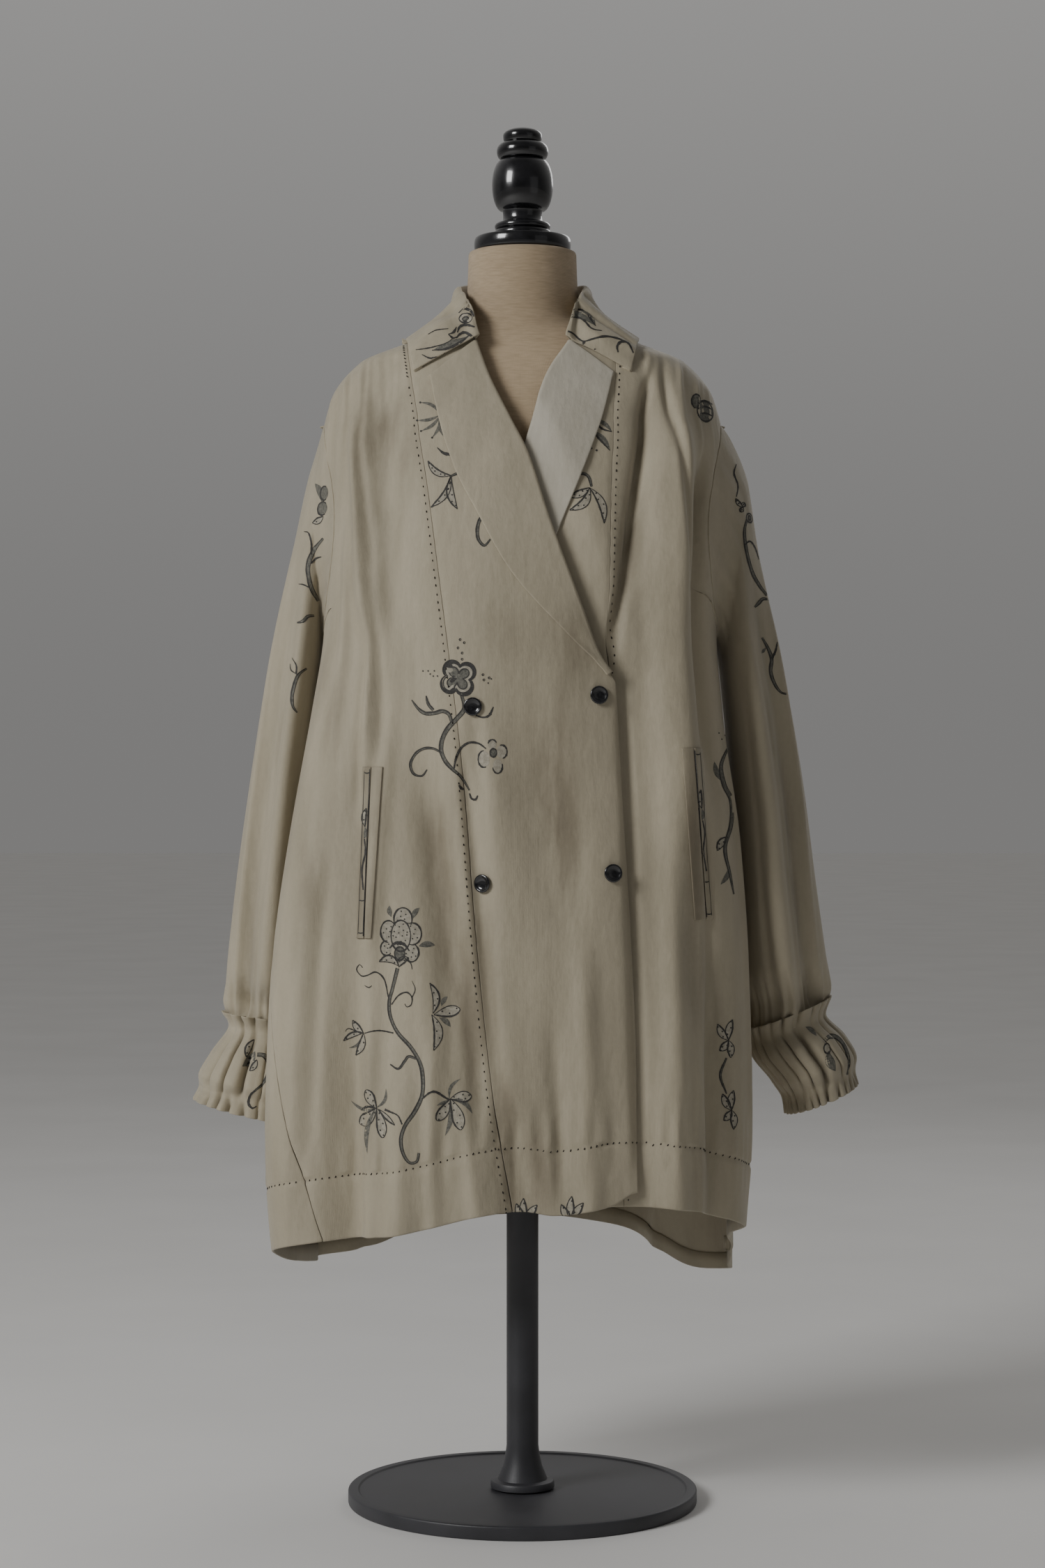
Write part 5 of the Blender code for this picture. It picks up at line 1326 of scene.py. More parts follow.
# The cuffs
# A strip of silk gathered twice: a ruffled heading above the first seam, a pleated flounce
# below it, and a frill below the second seam. The frill's edge is turned in.
Cuff = namedtuple("Cuff", "name outer_x outer_z inner_x inner_z depth heading flounce frill")
RIGHT_CUFF = table(
    Cuff,
    ("heading", 0.3035, 0.4880, 0.210, 0.478, 0.0490, 0.0034, 0.0000, 0.0000),
    ("first seam", 0.2985, 0.4740, 0.214, 0.464, 0.0450, 0.0004, 0.0006, 0.0000),
    ("flounce", 0.3140, 0.4470, 0.207, 0.435, 0.0550, 0.0000, 0.0036, 0.0000),
    ("flounce foot", 0.3260, 0.4250, 0.203, 0.405, 0.0620, 0.0000, 0.0040, 0.0000),
    ("second seam", 0.3280, 0.4130, 0.207, 0.390, 0.0610, 0.0000, 0.0010, 0.0008),
    ("frill", 0.3320, 0.4000, 0.205, 0.373, 0.0650, 0.0000, 0.0000, 0.0040))
LEFT_CUFF = table(
    Cuff,
    ("heading", 0.3105, 0.5040, 0.2270, 0.472, 0.0490, 0.0034, 0.0000, 0.0000),
    ("first seam", 0.3070, 0.4870, 0.2290, 0.460, 0.0450, 0.0004, 0.0006, 0.0000),
    ("flounce", 0.3240, 0.4650, 0.2370, 0.443, 0.0550, 0.0000, 0.0036, 0.0000),
    ("flounce foot", 0.3350, 0.4440, 0.2560, 0.420, 0.0600, 0.0000, 0.0040, 0.0000),
    ("second seam", 0.3360, 0.4300, 0.2640, 0.404, 0.0560, 0.0000, 0.0010, 0.0008),
    ("frill", 0.3370, 0.4160, 0.2690, 0.388, 0.0580, 0.0000, 0.0000, 0.0040))
CUFF_COLUMNS = 360
CUFF_ROLL = 0.0006
CUFF_TOP_FLAP = 0.003
CUFF_END_FLAP = 0.004
# painted shade in the cuffs' pleat valleys, for each metre that a pleat lies sunk
PLEAT_SHADE = 60.0


def pleats(turn, count, wander, boxy, overhang):
    """Lift and sideways shift of uneven pleats round a cuff."""
    phase = count * turn + wander * np.sin(3 * turn + 1.0) + 0.6 * wander * np.sin(7 * turn)
    valley = (0.5 - 0.5 * np.sin(phase)) ** boxy * (0.68 + 0.32 * np.sin(5 * turn + 0.8 * count))
    return 1.0 - 3.4 * valley, -overhang / count * np.cos(phase)


def cuff_points(rows, side, arm_y, u, t):
    """Rings of a cuff with each part's own pleats."""
    turn = side * 2 * math.pi * u
    heading, flounce, frill = [read(t) for read in row_curves(rows, "heading flounce frill")]
    first, shift_first = pleats(side * turn, 19, 1.1, 1.8, 0.80)
    second, shift_second = pleats(side * turn, 19, 1.4, 2.0, 0.88)
    third, shift_third = pleats(side * turn, 27, 1.6, 1.6, 0.80)
    wave = heading * first + flounce * second + frill * third
    shift = (heading * shift_first + flounce * shift_second + frill * shift_third) / 0.004
    middle, spoke = tube_ring(rows, side, arm_y, turn + side * shift, t)
    length = np.linalg.norm(spoke, axis=-1)
    points = middle + spoke * (1.0 + wave / length)[..., None]
    return clear_of_body(points, side, ARM_CLEAR), -wave


around = np.arange(CUFF_COLUMNS) / CUFF_COLUMNS
below = stations(0.125, 0.0026)
u, t = np.meshgrid(around, below)
for side, way, rows, arm_y in (
        ("right", -1, RIGHT_CUFF, RIGHT_ARM_Y), ("left", 1, LEFT_CUFF, LEFT_ARM_Y)):
    points, sunk = cuff_points(rows, way, arm_y, u, t)
    points = turn_under(points, "top", CUFF_ROLL, CUFF_TOP_FLAP, half=True)
    points = turn_under(points, "hem", CUFF_ROLL, CUFF_END_FLAP, half=True)
    # The pleats' valleys get painted shade.
    painted_valley_shade = np.clip(PLEAT_SHADE * sunk, 0.0, MOST_VALLEY_SHADE)
    painted_valley_shade = np.pad(painted_valley_shade, ((FREE_ROWS, FREE_ROWS), (0, 0)), mode="edge")
    cuff = cloth_piece("silk_cuff_" + side, points, ivory_silk, looped=True, tea_and_shade=painted_valley_shade)
    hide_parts("cuff_" + side)

# The pockets
# Upright welt pockets in the side panels, each with a narrow printed strip sewn on its
# opening and a plain strip of its facing beside it.
Pocket = namedtuple("Pocket", "top_x top_z end_x end_z")
POCKETS = {"right": Pocket(-0.1500, 0.7360, -0.1560, 0.5720),
           "left": Pocket(0.1690, 0.7540, 0.1815, 0.5890)}
WELT_LAY = 0.0006
FACING_LAY = 0.0002
WELT_WIDTH = 0.0068
FACING_TOP_WIDTH = 0.0100
FACING_END_WIDTH = 0.0050
BESIDE = WELT_WIDTH / 2 + 0.0014  # from a pocket's line to its facing, 1.4 mm past the welt
STRIP_WASH = 0.28
STRIP_ROLL = 0.0005
STRIP_FLAP = 0.0010
Strips = namedtuple("Strips", "welt facing")


def strip_points(pocket, near, far_top, far_end, lay):
    """A strip beside a pocket's line, between two distances from it."""
    u, t = np.meshgrid(np.linspace(0.0, 1.0, 9), np.linspace(0.0, 1.0, 60))
    x = blend(pocket.top_x, pocket.end_x, t) + blend(near, blend(far_top, far_end, t), u)
    height = blend(pocket.top_z, pocket.end_z, t)
    points = body(column_at(x, height), height, CLOTH + lay)
    for edge, turned in (*PANEL_SEAMS, ("hem", (SEAM_ROWS, SEAM_ROWS))):
        points = turn_under(points, edge, STRIP_ROLL, STRIP_FLAP, turned=turned)
    return points


for side, way in (("right", 1), ("left", -1)):
    pocket = POCKETS[side]
    half = WELT_WIDTH / 2
    points = strip_points(pocket, -half, half, half, WELT_LAY)
    brown = np.full(points.shape[:2], STRIP_WASH)
    welt = cloth_piece("silk_pocket_welt_" + side, points, ivory_silk, tea_and_shade=brown)
    near, far = sorted((way * BESIDE, way * (BESIDE + FACING_TOP_WIDTH)))
    far_end = BESIDE + FACING_END_WIDTH if side == "right" else far
    points = strip_points(pocket, near, far, far_end, FACING_LAY)
    facing = cloth_piece("silk_pocket_facing_" + side, points, ivory_silk, tea_and_shade=brown)
    for strip, node in ((welt, "pocket_welt_"), (facing, "pocket_facing_")):
        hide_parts(node + side)

# The buttons
# Four black buttons, moulded with a raised rim and a dished middle, polished to a gloss and
# sewn on through a shank behind.
BUTTON_RADIUS = 0.009
BUTTON_HEIGHT = 0.0035
BUTTON_LAY = 0.0006
Spot = namedtuple("Spot", "name x z")
BUTTONS = table(
    Spot,
    ("upper_right", -0.0477, 0.7945),
    ("upper_left", 0.0733, 0.8055),
    ("lower_right", -0.0375, 0.6245),
    ("lower_left", 0.0866, 0.6342))
Step = namedtuple("Step", "rise growth")
BUTTON_STEPS = table(
    Step, (0.30, 0.995), (0.16, 0.93), (0.04, 0.88), (-0.06, 0.93), (-0.26, 0.86), (-0.12, 0.72),
    (-0.03, 0.5))
button_black = lacquer("gloss_black_buttons", 500.0)
for spot in BUTTONS:
    column = column_at(spot.x, spot.z)
    seat = Vector(body(column, spot.z, BUTTON_LAY))
    outward_way = Vector(body(column, spot.z, 1.0) - body(column, spot.z)).normalized()
    bpy.ops.object.select_all(action="DESELECT")
    bpy.ops.mesh.primitive_cylinder_add(
        vertices=56, radius=0.85 * BUTTON_RADIUS, depth=0.5 * BUTTON_HEIGHT,
        location=(0.0, 0.0, 0.25 * BUTTON_HEIGHT))
    button = bpy.context.object
    button.name = "button_" + spot.name + "_fine"
    bpy.ops.object.mode_set(mode="EDIT")
    select_faces(button, lambda face: face.normal.z > 0.9)
    bpy.ops.transform.resize(value=(1.16, 1.16, 1.0))
    for step in BUTTON_STEPS:
        bpy.ops.mesh.extrude_region_move(
            TRANSFORM_OT_translate={"value": (0.0, 0.0, step.rise * BUTTON_HEIGHT)})
        bpy.ops.transform.resize(value=(step.growth, step.growth, 1.0))
    bpy.ops.mesh.select_all(action="SELECT")
    bpy.ops.mesh.normals_make_consistent(inside=False)
    bpy.ops.object.mode_set(mode="OBJECT")
    button.rotation_mode = "QUATERNION"
    button.rotation_quaternion = outward_way.to_track_quat("Z", "Y")
    button.location = seat + outward_way * BUTTON_HEIGHT * 0.25
    bpy.ops.object.transform_apply(location=True, rotation=True, scale=True)
    bpy.ops.object.shade_smooth_by_angle(angle=math.radians(50))
    button.data.materials.append(button_black)
    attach(button, "root")
    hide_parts("button_" + spot.name)

# The hand stitches
# Dark silk thread, run by hand beside both front seams and along the top of the hem. At the
# right shoulder the seam is overcast with close slanting stitches.
THREAD_RADIUS = 0.00058
THREAD_DARK = (0.012, 0.011, 0.010)
THREAD_WORN = (0.035, 0.031, 0.027)
STITCH = 0.0021
PITCH = 0.0082
HEM_PITCH = 0.0066
BESIDE_SEAM = 0.0040
OVERCAST_PITCH = 0.0046
OVERCAST_STITCH = 0.0026
OVERCAST_SLANT = 0.8
HEM_SLANT = 1.6
SILK_PANELS = ("silk_front_side_right", "silk_front_side_left", "silk_front_centre_right",
               "silk_front_centre_left", "silk_back")
thread, tree, shader = new_finish("dark_thread", 0.85)
shader.inputs["Specular IOR Level"].default_value = 0.2
plies = add_noise(tree, add_node(tree, "TexCoord", {}).outputs["Object"], 2500.0, 2.0)
add_colour(tree, shader, plies, [(0.35, THREAD_DARK), (0.7, THREAD_WORN)])
add_bump(tree, shader, plies, 0.0001)


def nearest_cloth(point, panels, reach):
    """Nearest place on the outer side of some panels, with its normal."""
    best = None
    for panel_name in panels:
        found = outer_side[panel_name].find_nearest(Vector(point), reach)
        if found[0] is not None and (best is None or found[3] < best[1][3]):
            best = (panel_name, found)
    return best


def thread_on(place, normal, along, length, radius):
    """Corners and faces of one stitch: a rounded bead of thread that lies on the cloth."""
    along = (along - normal * along.dot(normal)).normalized()
    beside = normal.cross(along)
    rings = []
    for step, size in ((-0.5, 0.35), (-0.40, 0.8), (-0.15, 1.0), (0.15, 1.0), (0.40, 0.8), (0.5, 0.35)):
        centre = place + along * step * length + normal * radius * 0.25 * (1.0 - 2.0 * abs(step))
        rings.append([centre + radius * size * (math.cos(angle) * beside + math.sin(angle) * normal)
                      for angle in (0.0, 1.047, 2.094, 3.142, 4.189, 5.236)])
    corners = [corner for ring in rings for corner in ring]
    faces = [(6 * i + j, 6 * i + 6 + j, 6 * i + 6 + (j + 1) % 6, 6 * i + (j + 1) % 6)
             for i in range(5) for j in range(6)]
    faces += [(0, 1, 2, 3, 4, 5), (35, 34, 33, 32, 31, 30)]
    return corners, faces


def run_stitches(line, panels, pitch, length, slant=0.0):
    """Stitches at an uneven hand-sewn pitch along a line of places near the cloth."""
    steps = run_length(line)
    at = pitch
    while at < steps[-1] - pitch / 2:
        here = Vector([float(np.interp(at, steps, line[:, axis])) for axis in range(3)])
        ahead = Vector([float(np.interp(at + 0.002, steps, line[:, axis])) for axis in range(3)])
        found = nearest_cloth(here, panels, 0.008)
        if found is not None:
            panel_name, (spot, normal, _, _) = found
            along = (ahead - here).normalized()
            along = along + slant * normal.cross(along)
            size = length * uneven.uniform(0.8, 1.25)
            stitched.setdefault(panel_name, []).append(
                thread_on(spot, normal, along, size, THREAD_RADIUS * uneven.uniform(0.9, 1.15)))
        at += pitch * uneven.uniform(0.88, 1.12)


uneven = np.random.default_rng(7)
stitched = {}
fall = np.linspace(1.116, 0.300, 300)
run_stitches(body(right_seam(fall) - BESIDE_SEAM / COLUMN, fall), ("silk_front_side_right",), PITCH, STITCH)
fall = np.linspace(1.145, 0.315, 300)
column = left_seam(fall) + BESIDE_SEAM / COLUMN
x = wall_point(column, fall)[..., 0]
run_stitches(body(column, fall, tuck(x, fall)), ("silk_front_side_left",), PITCH, STITCH)
fall = np.linspace(1.156, 1.116, 60)
run_stitches(body(right_seam(fall) - BESIDE_SEAM / COLUMN, fall), ("silk_front_side_right",),
             OVERCAST_PITCH, OVERCAST_STITCH, OVERCAST_SLANT)
around = np.linspace(-0.625, 3.375, 900)
run_stitches(body(around, hem_height(wrapped(around)) + HEM_DEPTH), SILK_PANELS, HEM_PITCH, STITCH,
             HEM_SLANT)
around = np.linspace(-0.24, 0.55, 260)
height = hem_height(around) + HEM_DEPTH
x = wall_point(around, height)[..., 0]
beyond = x > lap_edge(height)
run_stitches(body(around[beyond], height[beyond], tuck(x[beyond], height[beyond])),
             ("silk_front_centre_left",), HEM_PITCH, STITCH, HEM_SLANT)
for panel_name, stitches in stitched.items():
    corners = []
    faces = []
    for bead_corners, bead_faces in stitches:
        faces += [tuple(len(corners) + corner for corner in face) for face in bead_faces]
        corners += bead_corners
    mesh = bpy.data.meshes.new(panel_name + "_stitches")
    mesh.from_pydata(corners, [], faces)
    mesh.shade_smooth()
    mesh.materials.append(thread)
    add_object(panel_name + "_stitches", mesh).parent = bpy.data.objects[panel_name]

# The print
# Vines, flowers and dotted petals, block-printed on the silk in black ink with a thin
# grey-green wash inside the outlines. Their places are given in millimetres.
MM = 0.001
INK_LIFT = 0.00022
DOT_LIFT = 0.00025
SHADE_LIFT = 0.00016
PALE_LIFT = 0.00012
INK_SPREAD = 1.3          # how much wider the ink runs than the block's line
DOT_TURN = 2.4            # turn from one dot of a lobe to the next, in radians
BACK_COLUMN = 0.30        # width of a column on the back, for the print there
INK_BLACK = (0.022, 0.021, 0.020)
INK_WORN = (0.075, 0.070, 0.062)
SHADE_DARK = (0.075, 0.074, 0.062)
SHADE_LIGHT = (0.210, 0.200, 0.165)
PALE_DARK = (0.300, 0.275, 0.215)
PALE_LIGHT = (0.470, 0.430, 0.345)
Mark = namedtuple("Mark", "grid ink lift")
marks = []


def ink_finish(name, dark, light, scale):
    """Ink that has sunk unevenly into the weave."""
    finish, tree, shader = new_finish(name, 0.75)
    place = add_node(tree, "TexCoord", {}).outputs["Object"]
    spread = add_node(tree, "TexNoise", {"Vector": place, "Scale": scale, "Detail": 6.0, "Roughness": 0.7})
    add_colour(tree, shader, spread.outputs["Fac"], [(0.38, dark), (0.66, light)])
    return finish


INKS = {"ink": ink_finish("black_ink", INK_BLACK, INK_WORN, 900.0),
        "shade": ink_finish("grey_green_wash", SHADE_DARK, SHADE_LIGHT, 420.0),
        "pale": ink_finish("thin_wash", PALE_DARK, PALE_LIGHT, 300.0)}
INK_NAMES = list(INKS)
NOWHERE = (0.0, 9.0, 0.0)  # far from all cloth


def through(places, step=0.0016):
    """Evenly spaced points on a smooth line through places given in millimetres."""
    knots = MM * np.array(places, float)
    knots = np.concatenate([2 * knots[:1] - knots[1:2], knots, 2 * knots[-1:] - knots[-2:-1]])
    line = []
    for before, here, after, later in zip(knots, knots[1:], knots[2:], knots[3:]):
        count = max(2, int(np.linalg.norm(after - here) / step))
        share = (np.arange(count) / count)[:, None]
        line.append(between(before, here, after, later, share))
    return np.concatenate(line + [knots[-2:-1]])


def sideways(line):
    """Unit vectors to the left of a line, seen from outside the cloth."""
    along = unit(np.gradient(line, axis=0))
    return np.stack([-along[:, 1], along[:, 0]], axis=-1)


def stroke(line, widths, ink="ink"):
    """A brush stroke on a line, with half widths in millimetres that the ink spreads a little."""
    share = np.linspace(0.0, 1.0, len(line))
    half = INK_SPREAD * MM * np.interp(share, np.linspace(0.0, 1.0, len(widths)), widths)
    half = half * (1.0 + 0.16 * np.sin(37.0 * share + 90.0 * line[0, 0]))
    offsets = np.array([-1.0, 0.0, 1.0])[None, :, None]
    grid = line[:, None] + sideways(line)[:, None] * half[:, None, None] * offsets
    marks.append(Mark(grid, ink, INK_LIFT if ink == "ink" else SHADE_LIFT))


def brush(places, *widths):
    """A single stroke through places."""
    stroke(through(places), widths)


def stem(places, *widths):
    """A vine: a shaded ribbon with a heavy line on one side and a light one on the other."""
    line = through(places)
    half = MM * np.interp(np.linspace(0.0, 1.0, len(line)), np.linspace(0.0, 1.0, len(widths)), widths)
    stroke(line, [0.75 * width for width in widths], "shade")
    side = sideways(line)
    stroke(line - side * half[:, None], [0.35, 0.50, 0.60, 0.50, 0.30])
    stroke(line + side * half[:, None], [0.14, 0.30, 0.20, 0.32, 0.16])


def leaf(base, tip, width, bend=0.0, ink="pale", dots=0, rounded=False):
    """A pointed leaf or a petal with a rounded end; without dots a shaded leaf has no outline."""
    base = MM * np.array(base, float)
    run = MM * np.array(tip, float) - base
    beside = np.array([-run[1], run[0]])
    share = 0.5 - 0.5 * np.cos(np.linspace(0.0, math.pi, max(11, int(np.linalg.norm(run) / 0.0013))))
    spine = base + run * share[:, None] + beside * (bend * np.sin(math.pi * share))[:, None]
    skew, power = (1.55, 0.60) if rounded else (1.05, 0.95)
    half = MM * width * np.sin(math.pi * share ** skew) ** power
    side = sideways(spine)
    offsets = np.linspace(-1.0, 1.0, 5)[None, :, None]
    lift = PALE_LIFT if ink == "pale" else SHADE_LIFT
    marks.append(Mark(spine[:, None] + side[:, None] * half[:, None, None] * offsets, ink, lift))
    if ink == "pale":
        stroke(spine - side * half[:, None], [0.25, 0.55, 0.70, 0.60, 0.30])
        stroke(spine + side * half[:, None], [0.15, 0.30, 0.40, 0.35, 0.30])
    for i in range(dots):
        k = int(np.searchsorted(share, (i + 0.9) / (dots + 0.5)))
        spread = 0.0 if width < 3.2 else 0.4 * half[k] * (-1) ** i
        dot(1000 * (spine[k] + spread * side[k]), 0.85)


def spray(base, petals, **kind):
    """Leaves or petals from one place, each with its tip, width and bend."""
    for tip, width, bend in petals:
        leaf(base, tip, width, bend, **kind)


def dot(place, radius, ink="ink"):
    """A small round spot of ink."""
    place = MM * np.array(place, float)
    cells = np.array([[[-0.72, 0.72], [0.0, 1.0], [0.72, 0.72]], [[-1.0, 0.0], [0.0, 0.0], [1.0, 0.0]],
                      [[-0.72, -0.72], [0.0, -1.0], [0.72, -0.72]]])
    marks.append(Mark(place + MM * radius * cells, ink, DOT_LIFT))


def rings_of(place, wide, tall, radii, turns):
    """Rings of points round a place, for a lobe or a round flower."""
    around = np.stack([wide * np.cos(turns), tall * np.sin(turns)], -1)
    rings = np.stack([around * np.asarray(radius)[..., None] for radius in radii], axis=1)
    return MM * (np.array(place, float) + rings)


def lobe(place, wide, tall, start, stop, dots=0, ink="pale"):
    """A round lobe of a flower, outlined only between two angles, where nothing hides it."""
    turns = np.linspace(0.0, 2 * math.pi, 25)
    lift = PALE_LIFT if ink == "pale" else SHADE_LIFT
    marks.append(Mark(rings_of(place, wide, tall, (0.0, 0.5, 1.0), turns), ink, lift))
    turns = np.radians(np.linspace(start, stop, 25))
    stroke(rings_of(place, wide, tall, (1.0,), turns)[:, 0], [0.35, 0.65, 0.45, 0.80, 0.35])
    for i in range(dots):
        reach = 0.75 * math.sqrt((i + 0.4) / dots)
        beside = reach * wide * math.cos(DOT_TURN * i)
        above = reach * tall * math.sin(DOT_TURN * i)
        dot((place[0] + beside, place[1] + above), 0.75)


def ringlet(place, radius):
    """A tiny outlined circle."""
    turns = np.linspace(0.0, 2 * math.pi, 13)
    stroke(rings_of(place, radius, radius, (1.0,), turns)[:, 0], [0.25, 0.45, 0.15])


def four_lobes(place, radius, turn):
    """A round flower of four dark lobes, a light band inside them and a grey cross."""
    turns = np.linspace(0.0, 2 * math.pi, 97)
    lobes = np.abs(np.cos(2 * (turns - turn))) ** 0.7
    for outer, notch, ink in ((1.0, 0.62, "ink"), (0.84, 0.60, "pale"), (0.64, 0.26, "shade")):
        reach = radius * outer * (notch + (1.0 - notch) * lobes)
        lift = {"ink": 0.8 * PALE_LIFT, "pale": PALE_LIFT, "shade": SHADE_LIFT}[ink]
        marks.append(Mark(rings_of(place, 1.0, 1.0, (0.0 * reach, 0.5 * reach, reach), turns), ink, lift))
        stroke(rings_of(place, 1.0, 1.0, (reach,), turns)[:, 0], [0.40, 0.60, 0.35, 0.55, 0.40])


def press(chart, panels, owner, reach=0.009):
    """Press the marks drawn so far onto the cloth through a chart, as one printed layer."""
    flat = np.concatenate([mark.grid.reshape(-1, 2) for mark in marks])
    found = [nearest_cloth(point, panels, reach) for point in chart(flat[:, 0], flat[:, 1])]
    corners = []
    faces = []
    inks = []
    for mark in marks:
        rows, columns = mark.grid.shape[:2]
        first = len(corners)
        for hit in found[first:first + rows * columns]:
            corners.append(Vector((0, 0, 0)) if hit is None else hit[1][0] + hit[1][1] * mark.lift)
        for k in range((rows - 1) * columns):
            corner = [first + step for step in (k, k + 1, k + columns + 1, k + columns)]
            if (k + 1) % columns == 0 or any(found[c] is None for c in corner):
                continue
            a, b, c = (corners[place] for place in corner[:3])
            if (c - a).length > 0.02:
                continue
            facing = (b - a).cross(c - b).dot(found[corner[0]][1][1])
            faces.append(corner if facing > 0 else corner[::-1])
            inks.append(INK_NAMES.index(mark.ink))
    mesh = bpy.data.meshes.new(owner + "_print")
    mesh.from_pydata(corners, [], faces)
    for name in INK_NAMES:
        mesh.materials.append(INKS[name])
    mesh.polygons.foreach_set("material_index", inks)
    loose = bmesh.new()
    loose.from_mesh(mesh)
    alone = [corner for corner in loose.verts if not corner.link_faces]
    bmesh.ops.delete(loose, geom=alone, context="VERTS")
    loose.to_mesh(mesh)
    loose.free()
    mesh.shade_smooth()
    add_object(owner + "_print", mesh).parent = bpy.data.objects[owner]
    marks.clear()


def front_chart(x, z):
    """Places on the body of the jacket, seen from the front."""
    return body(column_at(x, z), z, tuck(x, z) * (x > lap_edge(z)))


def press_from_front(owner):
    """Press the marks straight back onto one piece."""
    def chart(x, z):
        places = []
        for x_here, z_here in zip(x, z):
            start = Vector((x_here, -1.0, z_here))
            hit = outer_side[owner].ray_cast(start, Vector((0.0, 1.0, 0.0)))[0]
            places.append(NOWHERE if hit is None else tuple(hit))
        return np.array(places)

    press(chart, (owner,), owner)


# Front: the long vine on the right side panel
stem([(-120, 543), (-125, 523), (-128, 511), (-127, 497), (-120, 482), (-107, 468), (-98, 453), (-95, 438),
      (-96, 422), (-103, 407), (-112, 394), (-116, 381), (-114, 368), (-108, 359), (-101, 360), (-99, 368)],
     1.5, 1.2, 1.3, 1.5, 1.5, 1.3, 0.9)
brush([(-129, 515), (-133, 532), (-141, 539), (-149, 536), (-155, 535), (-160, 541), (-157, 546),
       (-154, 543)], 0.4, 0.6, 0.5, 0.3)
brush([(-126, 508), (-119, 517), (-111, 520), (-106, 515), (-107, 508), (-111, 506), (-113, 509)],
      0.4, 0.6, 0.3)
brush([(-106, 515), (-103, 523), (-106, 531)], 0.4, 0.35, 0.15)
brush([(-124, 481), (-137, 483), (-146, 482), (-152, 480)], 0.5, 0.6, 0.4)
stem([(-102, 457), (-109, 459), (-113, 454), (-119, 447), (-127, 451)], 0.9, 0.8, 0.3)
brush([(-152, 526), (-148, 524), (-145, 526)], 0.2, 0.5, 0.2)
spray((-153, 480), (((-164, 492), 3.0, 0.1), ((-173, 472), 2.2, -0.1), ((-161, 458), 3.2, 0.1)), dots=2)
brush([(-155, 479), (-168, 484), (-171, 481)], 0.3, 0.5, 0.2)
leaf((-155, 477), (-168, 465), 1.4, 0.2, ink="shade")
leaf((-86, 500), (-89, 529), 3.2, -0.16, dots=4)
leaf((-85, 499), (-60, 504), 5.0, 0.0, dots=3, rounded=True)
leaf((-87, 499), (-85, 465), 4.0, 0.16, dots=4)
leaf((-78, 507), (-72, 516), 2.2, 0.1, ink="shade")
leaf((-80, 496), (-69, 487), 2.6, 0.1, ink="shade")
spray((-140, 409), (((-150, 426), 4.6, 0.05), ((-157, 392), 5.4, 0.05),
       ((-134, 381), 4.6, 0.05)), dots=5, rounded=True)
spray((-141, 409), (((-166, 414), 1.6, 0.2), ((-131, 428), 1.6, -0.2),
       ((-149, 365), 2.4, -0.1)), ink="shade")
leaf((-138, 408), (-122, 394), 1.9, 0.0)
brush([(-142, 409), (-149, 410), (-156, 405)], 0.6, 1.0, 0.4)
brush([(-115, 395), (-119, 403), (-126, 406), (-132, 408)], 0.6, 0.5, 0.9)
spray((-69, 419), (((-49, 421), 5.0, 0.05), ((-82, 399), 4.8, 0.05),
       ((-59, 390), 5.6, 0.05)), dots=5, rounded=True)
spray((-70, 418), (((-59, 438), 1.6, 0.2), ((-74, 384), 2.4, 0.1), ((-48, 405), 2.4, 0.2),
       ((-82, 413), 1.4, 0.0)), ink="shade")
brush([(-96, 419), (-89, 425), (-83, 426), (-75, 421), (-70, 418)], 0.5, 0.9, 0.7)
for leaf_base, tip, width in (((-106, 590), (-99, 601), 2.6), ((-126, 592), (-128, 603), 2.4),
                              ((-100, 564), (-84, 565), 3.0)):
    leaf(leaf_base, tip, width, 0.1, ink="shade")
lobe((-117, 574), 9.5, 15.0, 0, 360, dots=10)
lobe((-129, 578), 7.6, 10.5, 45, 270, dots=6)
lobe((-115, 590), 8.8, 11.0, -30, 215, dots=7)
lobe((-106, 576), 8.8, 10.5, -110, 110, dots=7)
lobe((-131, 562), 5.6, 7.0, 80, 320, dots=4)
lobe((-107, 558), 7.4, 8.8, -170, 70, dots=6)
lobe((-118, 557), 5.0, 6.5, 0, 360, ink="shade")
brush([(-128, 562), (-122, 567), (-114, 566), (-109, 560)], 0.5, 1.5, 0.5)
leaf((-119, 545), (-138, 549), 3.4, -0.25, dots=4)
leaf((-119, 544), (-109, 553), 3.2, 0.2, dots=3)
brush([(-111, 553), (-107, 547), (-106, 542)], 0.5, 0.5, 0.2)

# Front: the vine that crosses the seam at the upper button
four_lobes((-62, 822), 19.0, 0.62)
for spot in ((-60, 859), (-56, 856), (-62, 851), (-58, 846), (-58, 840), (-37, 820), (-38, 825),
             (-32, 822)):
    ringlet(spot, 0.9)
for spot in ((-96, 829), (-91, 829), (-85, 829), (-82, 824), (-89, 826), (-86, 824), (-33, 817),
             (-30, 821)):
    dot(spot, 0.8)
stem([(-59, 807), (-56, 796), (-57, 790), (-64, 782), (-72, 773), (-77, 763), (-78, 752), (-74, 742),
      (-67, 734), (-60, 728), (-55, 721), (-51, 714)], 1.0, 1.8, 1.8, 1.7, 1.5, 1.0, 0.5)
stem([(-68, 779), (-71, 787), (-77, 790), (-85, 788), (-94, 788), (-101, 793), (-107, 801)],
     1.1, 1.5, 1.4, 0.3)
stem([(-86, 791), (-91, 797), (-93, 805)], 1.2, 1.0, 0.3)
brush([(-45, 786), (-38, 784), (-32, 786), (-28, 794)], 0.6, 0.6, 1.0, 0.4)
stem([(-78, 750), (-86, 754), (-95, 754), (-103, 749), (-108, 739), (-105, 730), (-97, 728), (-92, 734)],
     0.7, 0.9, 0.9, 0.4)
stem([(-66, 735), (-64, 745), (-59, 755), (-51, 760), (-42, 759), (-35, 754)], 0.4, 0.8, 0.6, 0.3)
lobe((-29, 758), 4.0, 4.6, 20, 170)
lobe((-20, 751), 5.0, 6.4, -80, 110)
